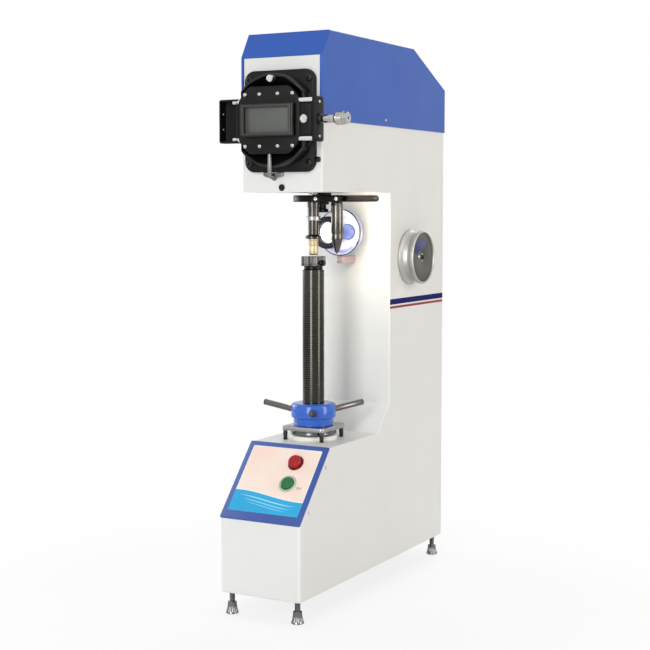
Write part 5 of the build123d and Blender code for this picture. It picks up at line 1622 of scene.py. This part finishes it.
@dataclass
class ScreenUnit:
    """Measuring screen on the head: plate, drum, window, tray, shutter box and micrometer."""

    z: float = 778.0
    face: float = 101.0
    plate_half: Span = (63.0, 79.0)
    light_bore: float = 20.0
    rail_hole: float = 4.05
    rail_depth: float = 36.0
    rail_rise: float = 28.8

    def at(self, depth: float, x: float = 0.0, rise: float = 0.0) -> Place:
        """Find a place by its depth before the head, its width and its rise from the screen's middle."""
        return x, -self.face - depth, self.z + rise

    def box(self, name: str, across: Span, depths: Span, rises: Span, edge: float) -> Piece:
        """Make a block by its spans across, before the head and up and down from the screen's middle."""
        low = (across[0], -self.face - depths[1], self.z + rises[0])
        return slab(name, low, (across[1], -self.face - depths[0], self.z + rises[1]), edge)

    def build(self) -> None:
        """Build the unit from the head outwards."""
        self.mount()
        self.drum()
        self.window()
        self.tray()
        self.shutter()
        self.knobs()
        self.micrometer()
        self.wing_screw()

    def mount(self) -> None:
        """Make the corner-rounded plate, its screws and the ring that the drum turns against."""
        flat = Facing.FRONT.value
        mount = plate("screen_plate", rounded_outline(*self.plate_half, 17.0, 10), 8.0, self.at(0), flat, 1.0)
        bore = turned("bore", pin(self.light_bore, -5, 30), self.at(0), Facing.FRONT, steps=48, edge=0)
        dress(smooth(carve(mount, bore)), "cabinet", Finishes.BLACK_PAINT, ("screen_mount_plate",))
        screw = Fastener(6.0, 3.4, socket=2.4).head("plate_screw")
        places = [self.at(8, x, rise) for x in (-53.6, 53.6) for rise in (-65, 65)]
        dress(copies(screw, places, "screen_plate_screws", flat), "cabinet", Finishes.BLACK_SATIN)
        thumb = turned(
            "plate_thumb_screw", ((0, -1), (2.5, -1), (2.5, 1), (4, 1.2), (4, 7.0), (3.4, 7.6), (0, 7.6)),
            (62.5, -self.face - 4, 718.0), Facing.RIGHT, steps=28, edge=0.2,
        )
        dress(thumb, "cabinet", Finishes.BLACK_OXIDE)
        profile = [
            (20, 8), (67.2, 8), (68.2, 9.0), (68.2, 10.0), (67.6, 10.3), (67.6, 11.0), (68.2, 11.3), (68.2, 12.0),
            (67.4, 12.8), (20, 12.8),
        ]
        ring = turned("screen_ring", profile, self.at(0), Facing.FRONT, steps=120, edge=0.2, closed=True)
        dress(ring, "cabinet", Finishes.BLACK_SATIN, ("screen_base_ring",))

    def drum(self) -> None:
        """Mill the flat-sided drum and its raised face, bore them, and set the face's screws."""
        flat = Facing.FRONT.value
        body = plate("screen_drum_body", flat_sided(72.0, 55.0), 20.0, self.at(13), flat, 1.6)
        face = plate("screen_face", self.face_outline(), 7.2, self.at(32.8), flat, 1.2)
        profile = ((66.0, 31.6), (67.2, 31.6), (67.2, 36), (66.0, 36))
        carve(body, turned("groove", profile, self.at(0), Facing.FRONT, steps=96, edge=0, closed=True))
        for piece in (body, face):
            carve(piece, self.box("cavity", (-48, 48), (20, 45), (-24, 24), 0))
        carve(body, turned("bore", pin(self.light_bore, 5, 30), self.at(0), Facing.FRONT, steps=48, edge=0))
        dress(smooth(body), "screen_unit", Finishes.BLACK_SATIN, ("screen_drum",))
        dress(smooth(face), "screen_unit", Finishes.BLACK_PAINT)
        screw = Fastener(3.1, 1.6, slot=0.7).head("face_screw")
        places = [self.at(40, x, rise) for x in (-42.4, -16.2, 16.2, 42.4) for rise in (-39.7, 39.7)]
        dress(copies(screw, places, "screen_face_screws", flat), "screen_unit", Finishes.FASTENER)

    def face_outline(self) -> list[Span]:
        """Outline of the raised face: a disc cut flat at both sides, at the top and at the bottom.

        Returns:
            The points in order, with no two in one place.
        """
        points = [(x, max(-52.0, min(52.0, y))) for x, y in flat_sided(62.0, 55.0, 40)]
        kept = [points[0]]
        for point in points[1:]:
            if hypot(point[0] - kept[-1][0], point[1] - kept[-1][1]) > 0.4:
                kept.append(point)
        return kept

    def window(self) -> None:
        """Make the bevelled window frame with its lighter lip, and fit the ground glass."""
        flat = Facing.FRONT.value
        frame_body = plate("window_frame", rounded_outline(47.0, 25.5, 2.5), 8.0, self.at(40), flat, 1.6)
        carve(frame_body, self.box("opening", (-40.5, 40.5), (30, 60), (-21, 21), 0))
        dress(smooth(frame_body), "screen_unit", Finishes.BEZEL, ("screen_frame",))
        lip = plate("window_lip", rounded_outline(43.6, 23.4, 1.6), 3.2, self.at(46.4), flat, 0.8)
        carve(lip, self.box("opening", (-39.6, 39.6), (30, 60), (-20.2, 20.2), 0))
        dress(smooth(lip), "screen_unit", Finishes.LIP)
        glass = self.box("window_glass", (-42.4, 42.4), (40.1, 43.0), (-22.9, 22.9), 0.3)
        dress(glass, "screen_unit", Finishes.SCREEN_GLASS, ("ground_glass",))

    def tray(self) -> None:
        """Fold the open tray and run the two guide rods through it and the drum."""
        tray = self.box("tray_body", (-91.5, -55.1), (20, 40), (-34, 34), 3.0)
        carve(tray, self.box("hollow", (-88.5, -58.5), (23, 60), (-31, 31), 0.8))
        for side in (-1, 1):
            rod_hole = turned(
                "hole", pin(self.rail_hole, 0, 8), self.at(self.rail_depth, -60, side * self.rail_rise), Facing.RIGHT,
                steps=24, edge=0
            )
            carve(tray, rod_hole)
        dress(smooth(tray), "screen_unit", Finishes.BLACK_PAINT, ("left_tray",))
        rods = []
        for side in (-1, 1):
            profile = ((0, 0), (3.4, 0), (4, 0.6), (4, 142.4), (3.4, 143), (0, 143))
            rods.append(
                turned(
                    "rod", profile, self.at(self.rail_depth, -66, side * self.rail_rise), Facing.RIGHT, steps=28,
                    edge=0.1
                )
            )
        dress(join(rods, "rail_rods"), "screen_unit", Finishes.RAIL, ("guide_rods",))
        screw = Fastener(2.3, 1.2, slot=0.6).head("tray_screw")
        places = [self.at(30, -88.4, rise) for rise in (-12, 12)]
        dress(copies(screw, places, "tray_wall_screws", Facing.RIGHT.value), "screen_unit", Finishes.FASTENER)

    def shutter(self) -> None:
        """Mill the shutter box and set the screws in its side."""
        housing = self.box("shutter_housing", (55, 76), (16, 40), (-24, 24), 1.4)
        for side in (-1, 1):
            hole = turned(
                "hole", pin(self.rail_hole, 0, 40), self.at(self.rail_depth, 50, side * self.rail_rise), Facing.RIGHT,
                steps=24, edge=0
            )
            carve(housing, hole)
        dress(smooth(housing), "screen_unit", Finishes.BLACK_PAINT, ("shutter_box",))
        outline = [(x - 28.0, y) for x, y in rounded_outline(12.0, 34.0, 5.0)]
        end = plate("shutter_end_plate", outline, 8.2, (76.0, -self.face, self.z), ON_THE_RIGHT, 0.9)
        bore = turned("bore", pin(8.8, -1, 20), self.at(28, 75), Facing.RIGHT, steps=40, edge=0)
        dress(smooth(carve(end, bore)), "screen_unit", Finishes.BLACK_PAINT)
        screw = Fastener(2.4, 1.2, slot=0.6).head("box_screw")
        places = [self.at(30, 84.2, rise) for rise in (-26, 26)]
        dress(copies(screw, places, "shutter_box_screws", Facing.RIGHT.value), "screen_unit", Finishes.FASTENER)
        handle = turned(
            "turn_rod",
            ((0, 0), (1.8, 0), (3.2, 1.2), (3.2, 3.6), (2.7, 4.0), (2.7, 5.2), (3.2, 5.6), (3.2, 30.3), (0, 30.3)),
            self.at(36.5, 0, -82.3), Facing.UP, steps=32, edge=0.2,
        )
        dress(handle, "screen_unit", Finishes.HANDLE, ("turn_handle",))

    def wing_screw(self) -> None:
        """Set the screw under the plate, a turned shank with two pressed wings."""
        spot = (-13.5, -self.face, 691.8)
        shank = (
            (0, -0.3), (6.0, -0.3), (6.0, 1.0), (4.4, 1.4), (4.4, 5.4), (2.7, 6.2), (2.7, 9.0), (2.2, 9.5), (0, 9.5)
        )
        parts = [turned("shank", shank, spot, Facing.FRONT, steps=32, edge=0.2)]
        for side in (-1, 1):
            outline = [(x + side * 10.8, y + 0.8) for x, y in rounded_outline(7.6, 3.9, 3.4)]
            lean = (radians(90), radians(-14 * side), 0)
            parts.append(plate("wing", outline, 2.4, (spot[0], spot[1] - 2.2, spot[2]), lean, 0.5))
        dress(smooth(join(parts, "plate_wing_screw")), "cabinet", Finishes.HANDLE)

    def knobs(self) -> None:
        """Turn and knurl the two small knobs on the front."""
        for name, node, radius, height, spot in (
            ("drum_clamp_knob", "clamp_knob", 5.4, 13.0, self.at(33, 5.0, 63.0)),
            ("shutter_front_knob", "shutter_knob", 6.5, 8.0, self.at(40, 65.5, 0)),
        ):
            rows = [(radius, 2.0 + row) for row in range(int(height - 3))]
            profile = [
                (0, -5.8), (2.4, -5.8), (2.4, 0.3), (radius * 0.86, 0.3), (radius, 1.1), *rows, (radius, height - 1.0),
                (radius * 0.8, height), (radius * 0.3, height), (0, height - 0.3)
            ]
            knob = turned(name, profile, spot, Facing.FRONT, steps=48, edge=0)
            knurl(knob, spot, -AXIS_Y, 2.0, height - 2.0, 48, pitch=1.0, depth=0.03, crossed=False)
            dress(smooth(knob, 30), node, Finishes.KNOB, (node,))

    def micrometer(self) -> None:
        """Turn the micrometer's boss, stem, graduated sleeve and knurled thimble."""
        middle = self.at(28.0)
        sleeve = turned(
            "micrometer_body",
            (
                (2.1, 80), (4.2, 80), (4.2, 92), (6.0, 92), (6.6, 92.6), (6.6, 116), (2.1, 116),
            ),
            middle, Facing.RIGHT, steps=48, edge=0.25, closed=True,
        )
        dress(sleeve, "screen_unit", Finishes.SLEEVE, ("micrometer_sleeve",))
        profile = ((2.1, 76.2), (8.7, 76.2), (8.7, 86.0), (7.6, 87.4), (4.3, 87.4), (4.3, 85), (2.1, 85))
        boss = turned("micrometer_boss", profile, middle, Facing.RIGHT, steps=48, edge=0.25, closed=True)
        dress(boss, "screen_unit", Finishes.BLACK_SATIN)
        y, z = middle[1:]
        marks = [slab("mark", (94.5, y - 0.12, z + 6.45), (109.5, y + 0.12, z + 6.66), 0)]
        for index in range(15):
            x = 95.0 + index
            # every fifth graduation is a long one
            reach = 2.3 if index % 5 == 0 else 1.4
            marks.append(slab("mark", (x - 0.09, y - reach, z + 5.9), (x + 0.09, y, z + 6.64), 0))
        dress(join(marks, "sleeve_scale"), "screen_unit", Finishes.LABEL_INK)
        rows = [(10.4, 115.6 + row) for row in range(10)]
        profile = [
            (7.3, 110.6), (7.8, 110.6), (9.6, 112.8), (10.4, 114.6), *rows, (9.8, 125.4), (9.0, 125.7), (9.0, 131.6),
            (8.2, 132.7), (2.1, 132.7), (2.1, 128.6), (7.3, 128.6),
        ]
        thimble = turned("thimble_body", profile, middle, Facing.RIGHT, steps=60, edge=0, closed=True)
        knurl(thimble, middle, AXIS_X, 115.6, 124.6, 60, pitch=1.0, depth=0.05)
        dress(smooth(thimble, 30), "thimble", Finishes.SLEEVE, ("micrometer_thimble",))
        repaint(Finishes.BLACK_OXIDE, "measuring_shutter")


@dataclass
class LoadDial:
    """Load dial on the column: waisted rim, turning knob and dark plate."""

    side: float = 72.5
    y: float = DIAL_AXIS[1]
    z: float = DIAL_AXIS[2]

    def build(self) -> None:
        """Turn the flange, the knob and the plate, and lay the label on it."""
        spot = (self.side, self.y, self.z)
        flange = turned(
            "dial_flange",
            (
                (6.1, 0), (46.6, 0), (47.5, 0.8), (47.5, 3.4), (46.8, 4.4), (44.6, 6.2), (42.9, 8.6), (42.0, 11.6),
                (42.0, 15.5), (6.1, 15.5),
            ),
            spot, Facing.RIGHT, steps=110, edge=0.25, closed=True,
        )
        dress(flange, "cabinet", Finishes.DIAL_METAL, ("selector_flange",))
        knob = turned(
            "dial_knob",
            (
                (0, 15.7), (42.0, 15.7), (42.2, 17.4), (43.2, 20.0), (45.2, 21.8), (46.0, 22.6), (46.0, 26.8),
                (45.2, 27.8), (44.2, 28.2), (43.2, 27.9), (42.8, 27.0), (42.8, 24.6), (0, 24.6),
            ),
            spot, Facing.RIGHT, steps=110, edge=0.25,
        )
        dress(knob, "load_selector", Finishes.DIAL_METAL, ("selector_knob",))
        face = turned(
            "dial_plate",
            (
                (6.9, 24.4), (42.7, 24.4), (42.7, 25.2), (42.3, 25.5), (7.6, 25.5), (7.1, 25.3), (6.9, 25.0),
            ),
            spot, Facing.RIGHT, steps=110, edge=0.15, closed=True,
        )
        dress(face, "load_selector", Finishes.DIAL_FACE, ("selector_face",))
        screw = Fastener(4.6, 2.0, socket=2.6).head("dial_screw")
        settle(screw, (self.side + 24.8, self.y, self.z), Facing.RIGHT.value)
        dress(screw, "load_selector", Finishes.BLACK_OXIDE)
        patch = (
            (-23, 4.5), (-14, 9), (-2, 13.5), (10, 17.5), (18, 20), (19, 23), (17, 28), (13, 30), (-13, 30), (-20, 29),
            (-27, 26), (-32, 21.5), (-34.5, 16), (-34.5, 11), (-31, 7.5),
        )
        label = plate("dial_label", patch, 0.25, (self.side + 25.4, self.y, self.z), ON_THE_RIGHT, 0.05)
        dress(label, "load_selector", Finishes.DIAL_LABEL)
        dot = turned(
            "dial_pointer", ((0, 0), (3.6, 0), (3.6, 0.7), (2.8, 1.4), (0, 1.6)),
            (self.side + 25.3, self.y - 15.5, self.z + 1),
            Facing.RIGHT, steps=28, edge=0.15,
        )
        dress(dot, "load_selector", Finishes.FASTENER)


@dataclass
class Mechanism:
    """Loading lever, weights, drive and light path inside the cabinet, on their solids."""

    def build(self) -> None:
        """Give each inner solid its finish."""
        repaint(Finishes.BRASS, "screw_bush")
        repaint(Finishes.CAST_IRON, "fulcrum_block", "loading_lever", "weights")
        repaint(Finishes.BRIGHT_STEEL, "loading_spindle", "weight_hanger", "lift_rod")
        repaint(Finishes.ALUMINIUM, "dashpot")
        repaint(Finishes.GREY_PAINT, "lift_motor")
        repaint(Finishes.BLACK_SATIN, "optical_tube")


@dataclass
class Studio:
    """Camera, soft lights, floor and white surroundings."""

    eye: Place = (1124.2, -2006.3, 645.6)
    tilt: float = 90 - 4.834
    swing: float = 28.788
    lens: float = 77.66
    sensor: float = 36.0
    sight: float = 50.0

    def build(self) -> None:
        """Set the camera, then the lights, the world and the floor."""
        scene = bpy.context.scene
        scene.view_settings.view_transform = "Standard"
        drop_selection()
        bpy.ops.object.camera_add(location=Vector(self.eye) * MM, rotation=(radians(self.tilt), 0, radians(self.swing)))
        camera = bpy.context.object
        camera.name = "camera"
        camera.data.lens = self.lens
        camera.data.sensor_width = self.sensor
        camera.data.clip_end = self.sight
        scene.camera = camera
        room = (0, 80, 420)
        for name, at, size, power, tone, aim in (
            # two tall strips draw the long highlights on the column, the hub and the thread
            ("front_softbox", (261, -2988, 1150), (900, 2400), 50, "#FFFFFF", room),
            ("side_softbox", (2990, 60, 950), (900, 2400), 38, "#FFF4EC", room),
            # two broad ones open the shadows on the far sides
            ("left_softbox", (-2700, 300, 1300), (1500, 1900), 34, "#FFFFFF", room),
            ("back_softbox", (-500, 2700, 1500), (1500, 1900), 36, "#FFFFFF", room),
            # what the lamp throws on the column, and what its bowl scatters over itself
            ("throat_fill", (69, 4, LAMP_Z), (40, 50), 0.14, "#FFEFD8", (46, 137, 600)),
            ("bowl_glow", (34, 56, 606), (20, 20), 0.035, "#FFFBF4", (24, 120, LAMP_Z)),
        ):
            self.softbox(name, at, size, power, tone, aim)
            bpy.context.object.visible_glossy = aim == room
        self.world()
        self.floor()

    def softbox(self, name: str, at: Place, size: Span, power: float, tone: str, aim: Place) -> None:
        """Hang one soft rectangular light and aim it.

        Args:
            name: Name of the light.
            at: Where it hangs, in millimetres.
            size: Its width and height in millimetres.
            power: Its power in watts.
            tone: Its colour.
            aim: The point that it faces.
        """
        drop_selection()
        turn = (Vector(aim) - Vector(at)).to_track_quat("-Z", "Y").to_euler()
        bpy.ops.object.light_add(type="AREA", location=Vector(at) * MM, rotation=turn)
        light = bpy.context.object
        light.name = name
        light.visible_camera = False
        light.data.shape = "RECTANGLE"
        light.data.size = size[0] * MM
        light.data.size_y = size[1] * MM
        light.data.energy = power
        light.data.color = linear(tone)[:3]

    def world(self) -> None:
        """Light evenly from all round, and show white to the camera and in reflections."""
        world = bpy.data.worlds.new("white_room")
        bpy.context.scene.world = world
        world.use_nodes = True
        tree = world.node_tree
        tree.nodes.clear()
        path = add(tree, "LightPath")
        seen = add(
            tree, "Math", {0: path.outputs["Is Camera Ray"], 1: path.outputs["Is Glossy Ray"]}, operation="MAXIMUM"
        )
        seen = add(tree, "Math", {0: seen.outputs[0], 1: path.outputs["Is Transmission Ray"]}, operation="MAXIMUM")
        even = add(tree, "Background", {"Color": linear("#F4F6FA"), "Strength": 0.42})
        white = add(tree, "Background", {"Color": (1.0, 1.0, 1.0, 1.0), "Strength": 1.0})
        both = add(tree, "MixShader", {0: seen.outputs[0], 1: even.outputs[0], 2: white.outputs[0]})
        add(tree, "OutputWorld", {"Surface": both.outputs[0]})

    def floor(self) -> None:
        """Lay a round pale floor that keeps the shadow and fades into the white behind."""
        drop_selection()
        # a hair under the feet, so that the two surfaces never share a plane
        bpy.ops.mesh.primitive_circle_add(vertices=96, radius=6.0, fill_type="NGON", location=(0, 0, -0.2 * MM))
        floor = bpy.context.object
        floor.name = "floor"
        bpy.ops.object.transform_apply(location=True, rotation=True, scale=True)
        material = bpy.data.materials.new("pale_floor")
        material.use_nodes = True
        tree = material.node_tree
        tree.nodes.clear()
        where = add(tree, "TexCoord").outputs["Object"]
        reach = add(tree, "VectorMath", {0: where}, operation="LENGTH")
        fade = add(
            tree, "MapRange",
            {"Value": reach.outputs["Value"], "From Min": 0.3, "From Max": 0.8, "To Min": 0.82, "To Max": 1.0},
            interpolation_type="SMOOTHSTEP",
        )
        path = add(tree, "LightPath")
        white = add(tree, "Math", {0: fade.outputs[0], 1: path.outputs["Is Camera Ray"]}, operation="MULTIPLY")
        matt = add(tree, "BsdfDiffuse", {"Color": linear("#F2F2F1")})
        glow = add(tree, "Emission", {"Color": (1.0, 1.0, 1.0, 1.0), "Strength": 1.0})
        both = add(tree, "MixShader", {0: white.outputs[0], 1: matt.outputs[0], 2: glow.outputs[0]})
        add(tree, "OutputMaterial", {"Surface": both.outputs[0]})
        floor.data.materials.append(material)


def main() -> None:
    """Build every sub-assembly in order."""
    logging.basicConfig(level=logging.INFO, format="%(name)s %(message)s")
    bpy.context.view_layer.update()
    Studio().build()
    for assembly in (
        Cabinet, Feet, ControlPanel, Handwheel, ElevatingScrew, Turret, Lamp, ScreenUnit, LoadDial, Mechanism
    ):
        LOG.info("%s", assembly.__name__)
        assembly().build()
    drop_selection()


if __name__ == "__main__":
    main()
